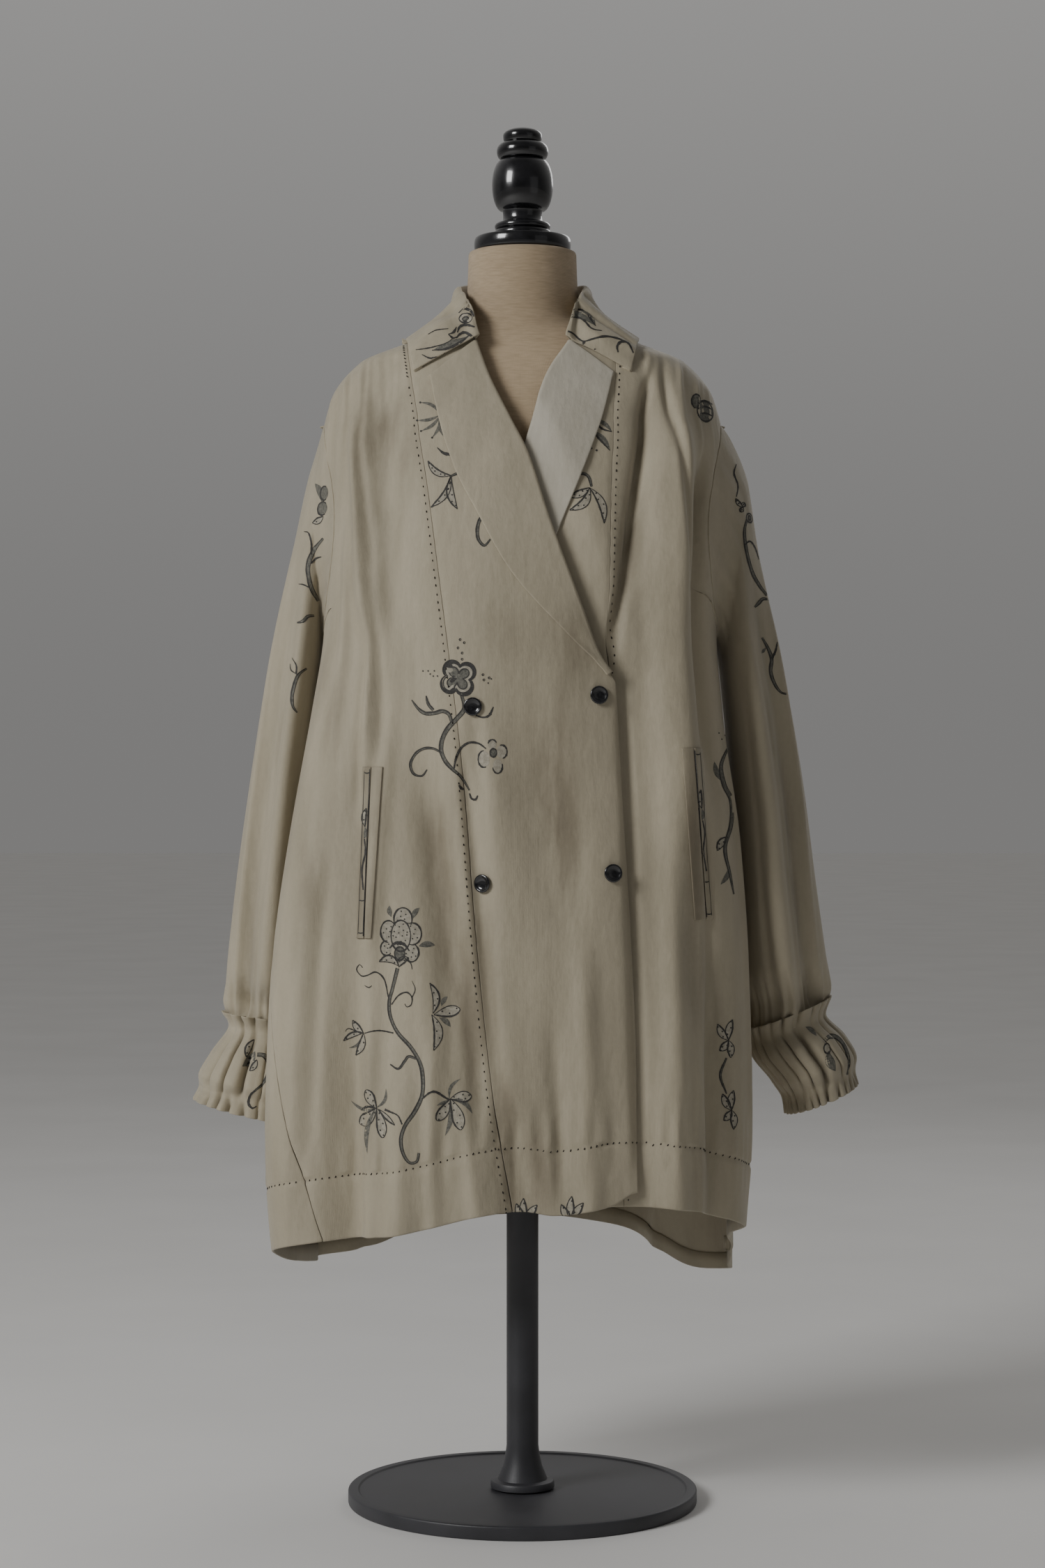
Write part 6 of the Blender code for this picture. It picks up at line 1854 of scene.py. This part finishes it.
lobe((-24, 737), 4.6, 6.8, -170, 20)
lobe((-37, 744), 5.6, 8.0, 90, 290)
lobe((-28, 750), 3.2, 4.0, 0, 360, ink="shade")
brush([(-61, 719), (-59, 716), (-56, 715)], 0.7, 1.2, 0.6)
brush([(-51, 711), (-49, 706), (-45, 705), (-43, 709)], 0.4, 0.9, 1.0, 0.4)

# Front: sprays beside the lapels, half flowers at the hem, and vines towards the left side
for tip, bend in (((-100, 1093), -0.16), ((-103, 1075), 0.10), ((-99, 1064), 0.12), ((-88, 1057), 0.12),
                  ((-75, 1056), -0.12)):
    leaf((-80, 1080), tip, 1.7, bend, ink="shade")
    dot(tip, 1.1)
brush([(-83, 1047), (-76, 1041), (-68, 1041), (-63, 1048)], 0.3, 1.1, 1.5, 0.6)
spray((-69, 1019), (((-92, 1034), 2.8, 0.18), ((-89, 988), 2.8, 0.14), ((-63, 986), 3.4, -0.12)), dots=5)
stem([(-71, 1018), (-59, 1022), (-50, 1017)], 0.7, 0.9, 0.5)
stem([(-33, 987), (-42, 973), (-43, 958), (-37, 950), (-31, 956)], 0.8, 1.1, 1.3, 1.0, 0.5)
for start, tip in (((69, 1075), (87, 1063)), ((67, 1064), (85, 1044))):
    leaf(start, tip, 2.2, 0.12, ink="shade")
    brush([start, (start[0] + 8, start[1] - 9), tip], 0.5, 0.9, 0.3)
for spot in ((67, 1046), (72, 1044)):
    dot(spot, 1.1)
spray((65, 1007), (((45, 999), 3.4, 0.10), ((46, 986), 3.8, 0.22), ((79, 972), 3.4, 0.14)), dots=5)
stem([(52, 1018), (58, 1021), (64, 1018), (67, 1008)], 0.8, 1.1, 0.8)
for centre, tips in (((3, 300), ((-6, 319), (1, 324), (14, 318))),
                     ((47, 302), ((37, 319), (47, 327), (58, 321)))):
    for tip in tips:
        leaf(centre, tip, 3.4, 0.06, dots=2)
for centre, tips in (((201, 470), ((190, 486), (205, 490), (192, 460), (203, 453))),
                     ((204, 402), ((195, 418), (206, 421), (196, 392), (206, 383)))):
    for tip in tips:
        leaf(centre, tip, 3.4, 0.08, dots=3)
stem([(199, 453), (193, 436), (199, 418)], 0.6, 0.9, 0.4)
stem([(203, 756), (195, 738), (198, 719), (206, 703), (205, 680), (198, 657), (203, 632), (207, 612)],
     0.8, 1.9, 2.2, 1.9, 1.6, 1.2, 0.5)
leaf((197, 722), (188, 742), 3.0, 0.1, ink="shade")
leaf((201, 668), (190, 655), 3.4, -0.1, dots=3)
leaf((203, 640), (193, 622), 2.6, 0.1, ink="shade")
for spot in ((196, 764), (200, 768), (203, 762), (193, 770), (205, 770)):
    dot(spot, 0.8)
lobe((181, 1089), 8.5, 10.5, 0, 360, ink="shade")
lobe((172, 1098), 5.0, 7.5, 30, 250, ink="shade")
for level in (1083, 1090, 1096):
    brush([(173, level), (180, level + 4), (189, level + 2)], 0.4, 0.9, 0.5)
press(front_chart, SILK_PANELS[:4], "silk_front_side_right")

# The collar's leaves and long curled lines
brush([(36, 1167), (49, 1163), (56, 1157), (61, 1155), (72, 1158), (83, 1160), (95, 1158), (106, 1153)],
      0.4, 0.8, 0.5, 0.9, 0.8, 0.5)
brush([(61, 1155), (59, 1150), (64, 1146), (72, 1147)], 0.9, 0.8, 0.4)
brush([(94, 1144), (93, 1150), (97, 1155), (104, 1154), (109, 1144)], 0.5, 1.1, 0.9, 0.5)
# The grey leaf under the roll lies where the roll's fold shades the collar: painted shade, drawn as a
# printed leaf with its outlines.
leaf((45, 1182), (72, 1171), 5.2, 0.22, ink="shade")
brush([(45, 1182), (54, 1189), (62, 1186), (68, 1177), (72, 1171)], 0.5, 0.8, 1.0, 0.3)
brush([(45, 1178), (53, 1180), (60, 1177), (68, 1168), (78, 1166)], 0.4, 0.9, 0.7, 0.3)
leaf((-52, 1160), (-88, 1146), 4.2, 0.04, ink="shade")
brush([(-52, 1161), (-62, 1153), (-75, 1147), (-89, 1146)], 0.4, 1.1, 0.9, 0.3)
brush([(-99, 1142), (-91, 1138), (-83, 1139), (-76, 1143)], 0.3, 0.9, 0.3)
brush([(-105, 1147), (-95, 1148), (-85, 1150), (-75, 1153), (-68, 1158)], 0.3, 0.6, 0.4, 0.3)
brush([(-93, 1163), (-85, 1167), (-73, 1168)], 0.3, 0.5, 0.3)
brush([(-73, 1162), (-68, 1164), (-65, 1170)], 0.3, 1.0, 0.3)
brush([(-73, 1162), (-68, 1158), (-64, 1160)], 0.3, 1.0, 0.3)
lobe((-56, 1179), 6.4, 4.8, 0, 360)
lobe((-56, 1178), 3.2, 2.2, 0, 360, ink="shade")
for arc in (((-64, 1164), (-62, 1170), (-56, 1172), (-47, 1169)),
            ((-65, 1158), (-62, 1162), (-56, 1164), (-46, 1156)),
            ((-63, 1185), (-57, 1189), (-50, 1185), (-48, 1180))):
    brush(arc, 0.4, 1.1, 1.1, 0.5)
press_from_front("silk_collar")

# The sleeves' vines, on the right one towards the front and on the left one down its outside
leaf((-200, 1001), (-208, 1021), 3.4, -0.1, ink="shade")
lobe((-197, 1009), 4.4, 7.0, 60, 300, ink="shade")
lobe((-199, 994), 5.4, 6.6, 40, 300, ink="shade")
leaf((-198, 986), (-210, 981), 3.0, 0.1, dots=1)
stem([(-198, 964), (-207, 955), (-212, 945), (-214, 936), (-213, 925), (-210, 914), (-204, 903)],
     1.0, 1.8, 2.0, 1.6, 1.8, 1.4)
brush([(-211, 949), (-211, 961), (-214, 971), (-219, 973)], 0.7, 0.6, 0.7, 0.3)
brush([(-211, 940), (-206, 945), (-200, 946)], 0.7, 0.8, 0.4)
brush([(-213, 916), (-219, 919), (-224, 920)], 0.6, 0.6, 0.2)
stem([(-225, 881), (-219, 882), (-214, 887), (-208, 888)], 0.4, 1.4, 1.2, 0.8)
stem([(-215, 835), (-223, 828), (-227, 817), (-229, 806), (-228, 797), (-224, 791)],
     0.6, 1.2, 1.4, 1.2, 0.5)
brush([(-225, 829), (-225, 838), (-230, 846)], 0.7, 0.6, 0.2)
brush([(-226, 830), (-231, 834), (-232, 840)], 0.4, 0.5, 0.2)
press_from_front("silk_sleeve_right")
brush([(214, 1040), (211, 1030), (215, 1018), (213, 1006)], 0.3, 0.8, 0.6, 0.4)
spray((220, 996), (((212, 1004), 2.0, 0.1), ((222, 1001), 2.2, 0.1), ((216, 991), 2.0, 0.1)), dots=2)
lobe((227, 986), 3.6, 4.6, 0, 360)
lobe((227, 986), 1.6, 2.2, 0, 360, ink="shade")
stem([(224, 984), (221, 971), (223, 952), (229, 931), (237, 918), (245, 909)], 0.8, 1.3, 1.4, 1.6, 1.2)
brush([(221, 958), (227, 962), (233, 956), (237, 945)], 0.5, 0.8, 0.7, 0.3)
stem([(231, 896), (236, 901), (240, 905), (247, 905)], 0.6, 1.4, 1.2, 0.6)
stem([(239, 866), (245, 856), (249, 845), (248, 832), (252, 820), (258, 812), (264, 810)],
     0.8, 1.4, 1.5, 1.3, 0.6)
brush([(249, 845), (253, 853), (255, 862)], 1.0, 0.9, 0.4)
leaf((243, 856), (238, 850), 1.6, 0.0, ink="shade")
press_from_front("silk_sleeve_left")

# The cuffs' sprays, printed before the cuffs were gathered
leaf((-268, 452), (-281, 437), 4.6, 0.1, ink="shade")
leaf((-270, 463), (-277, 446), 3.0, -0.1, dots=2)
leaf((-266, 444), (-273, 433), 2.6, 0.1, dots=1)
stem([(-266, 449), (-259, 448), (-254, 441), (-254, 432), (-259, 421), (-267, 414)],
     1.6, 2.0, 1.2, 0.9, 0.8)
brush([(-267, 414), (-272, 409), (-274, 401), (-270, 396), (-266, 398)], 0.8, 0.9, 1.1, 0.4)
press_from_front("silk_cuff_right")
leaf((305, 454), (312, 434), 4.8, -0.1, ink="shade")
lobe((304, 456), 3.4, 4.6, 0, 360)
leaf((283, 477), (294, 468), 2.4, 0.1, ink="shade")
stem([(301, 462), (307, 467), (315, 466), (322, 459), (326, 449), (327, 439), (325, 429)],
     1.4, 1.8, 1.6, 1.4, 1.2, 0.7)
press_from_front("silk_cuff_left")

# The pocket welts: a heavy and a light line, bars across them and leaves between
for side, way in (("right", 1.0), ("left", -1.0)):
    pocket = POCKETS[side]

    def on_welt(across, t):
        height = 1000 * blend(pocket.top_z, pocket.end_z, t)
        return (1000 * blend(pocket.top_x, pocket.end_x, t) + across, height)

    brush([on_welt(2.6 * way, t) for t in (0.01, 0.3, 0.6, 0.99)], 0.3, 0.5, 0.35, 0.5)
    brush([on_welt(-2.7 * way, t) for t in (0.02, 0.4, 0.7, 0.98)], 0.15, 0.25, 0.15, 0.2)
    for t in (0.03, 0.78, 0.97):
        brush([on_welt(-2.7, t), on_welt(0.0, t + 0.004), on_welt(2.7, t)], 0.3, 0.5, 0.3)
    leaf(on_welt(0.0, 0.35), on_welt(0.6, 0.24), 2.2, 0.1, dots=2)
    leaf(on_welt(0.0, 0.35), on_welt(-0.6, 0.42), 1.9, 0.1, ink="shade")
    brush([on_welt(0.0, 0.42), on_welt(1.4, 0.50), on_welt(-1.2, 0.60), on_welt(0.8, 0.72)], 0.5, 0.7, 0.5)
    press_from_front("silk_pocket_welt_" + side)

# The back: two vines like those of the front, up from the hem and down from the neck
stem([(-30, 330), (-38, 348), (-34, 370), (-20, 392), (-8, 415), (-6, 440), (-16, 463), (-28, 482),
      (-30, 505), (-22, 525), (-12, 540)], 0.7, 1.3, 1.5, 1.5, 1.3, 1.3, 1.4)
brush([(-30, 330), (-24, 324), (-17, 327), (-16, 334)], 0.9, 0.9, 0.4)
stem([(-8, 415), (6, 422), (20, 418), (32, 424)], 1.0, 0.9, 0.5)
stem([(-27, 482), (-42, 486), (-55, 480), (-66, 484)], 1.0, 0.9, 0.5)
stem([(-36, 362), (-50, 368), (-60, 362), (-70, 366)], 1.0, 0.8, 0.4)
brush([(-29, 500), (-40, 512), (-52, 512), (-58, 504), (-53, 498)], 0.4, 0.7, 0.4)
for centre, tips in (((34, 425), ((56, 430), (44, 402), (24, 398))),
                     ((-68, 485), ((-90, 492), (-84, 466), (-66, 460))),
                     ((-71, 367), ((-92, 374), (-86, 350), (-68, 345)))):
    for tip in tips:
        leaf(centre, tip, 5.2, 0.05, dots=5, rounded=True)
    leaf(centre, (centre[0] + 4, centre[1] + 22), 1.8, 0.2, ink="shade")
    leaf(centre, (2 * centre[0] - tips[2][0], 2 * centre[1] - tips[2][1] - 8), 2.0, 0.2, ink="shade")
for place, wide, tall, start, stop in (((-8, 574), 9, 12, 0, 200), ((-21, 563), 8, 10, 70, 250),
                                       ((4, 562), 8, 10, -70, 100), ((-18, 549), 6, 8, 100, 300),
                                       ((0, 548), 7, 8, -140, 50)):
    lobe(place, wide, tall, start, stop, dots=9)
lobe((-9, 548), 5.0, 6.0, 0, 360, ink="shade")
four_lobes((48, 930), 18.0, 0.4)
stem([(46, 912), (38, 896), (26, 880), (22, 862), (30, 846), (44, 838)], 1.4, 1.8, 1.7, 1.4, 0.6)
stem([(28, 882), (14, 892), (2, 888), (-6, 896)], 1.2, 1.3, 0.4)
stem([(24, 866), (10, 860), (4, 848), (12, 840), (19, 846)], 0.9, 1.0, 0.4)
spray((46, 837), (((68, 846), 3.2, 0.1), ((64, 828), 3.6, 0.1), ((44, 818), 3.2, 0.1)), dots=3)


def back_chart(x, z):
    """Places on the back, seen from behind."""
    return body(2.0 + np.asarray(x) / BACK_COLUMN, z)


press(back_chart, ("silk_back",), "silk_back")

# The floor, the light and the camera
# A plain pale floor, a large soft light from the upper left as in the picture, a weak fill,
# and a level camera in front at the middle of the jacket.
FLOOR_HALF = 30.0
FLOOR_DARK = (0.80, 0.79, 0.77)
FLOOR_LIGHT = (0.84, 0.83, 0.81)
LIGHT_AIM = (0.0, 0.0, 0.75)
floor_mesh = bpy.data.meshes.new("floor")
floor_mesh.from_pydata(
    [(x * FLOOR_HALF, y * FLOOR_HALF, 0.0) for x, y in ((-1, -1), (1, -1), (1, 1), (-1, 1))],
    [], [(0, 1, 2, 3)])
floor = add_object("floor", floor_mesh)
pale, tree, shader = new_finish("pale_floor", 0.9)
mottle = add_noise(tree, add_node(tree, "TexCoord", {}).outputs["Object"], 3.0, 4.0)
add_colour(tree, shader, mottle, [(0.3, FLOOR_DARK), (0.7, FLOOR_LIGHT)])
floor.data.materials.append(pale)

world = bpy.data.worlds.new("studio")
bpy.context.scene.world = world
world.use_nodes = True
tree = world.node_tree
way = add_node(tree, "SeparateXYZ", {"Vector": add_node(tree, "TexCoord", {}).outputs["Generated"]})
behind = add_node(tree, "MapRange", {"Value": way.outputs["Y"], "From Min": -0.6, "From Max": 0.8,
                                     "To Min": 0.09, "To Max": 0.44}, interpolation_type="SMOOTHSTEP")
above = add_node(tree, "MapRange", {"Value": way.outputs["Z"], "From Min": 0.0, "From Max": 0.50,
                                    "To Min": 0.46, "To Max": 1.00}, interpolation_type="SMOOTHSTEP")
glow = add_node(tree, "Math", {0: behind.outputs["Result"], 1: above.outputs["Result"]},
                operation="MULTIPLY")
tree.links.new(glow.outputs[0], tree.nodes["Background"].inputs["Strength"])
tree.nodes["Background"].inputs["Color"].default_value = (1.0, 0.985, 0.965, 1.0)
for name, place, width, power in (
        ("key", (-2.9, -2.3, 2.5), 1.3, 100.0), ("fill", (2.6, -2.6, 1.4), 2.0, 2.0),
        ("rim", (1.2, 2.6, 2.4), 1.2, 8.0)):
    lamp = bpy.data.lights.new(name, "AREA")
    lamp.shape = "SQUARE"
    lamp.size = width
    lamp.energy = power
    light = add_object(name, lamp)
    light.location = place
    light.rotation_euler = (Vector(LIGHT_AIM) - Vector(place)).to_track_quat("-Z", "Y").to_euler()

lens = bpy.data.cameras.new("camera")
lens.sensor_fit = "VERTICAL"
lens.sensor_height = 36.0
lens.lens = 73.1
camera = add_object("camera", lens)
camera.location = (0.0, -3.2, 0.72)
camera.rotation_euler = (math.radians(90), 0.0, 0.0)
bpy.context.scene.camera = camera
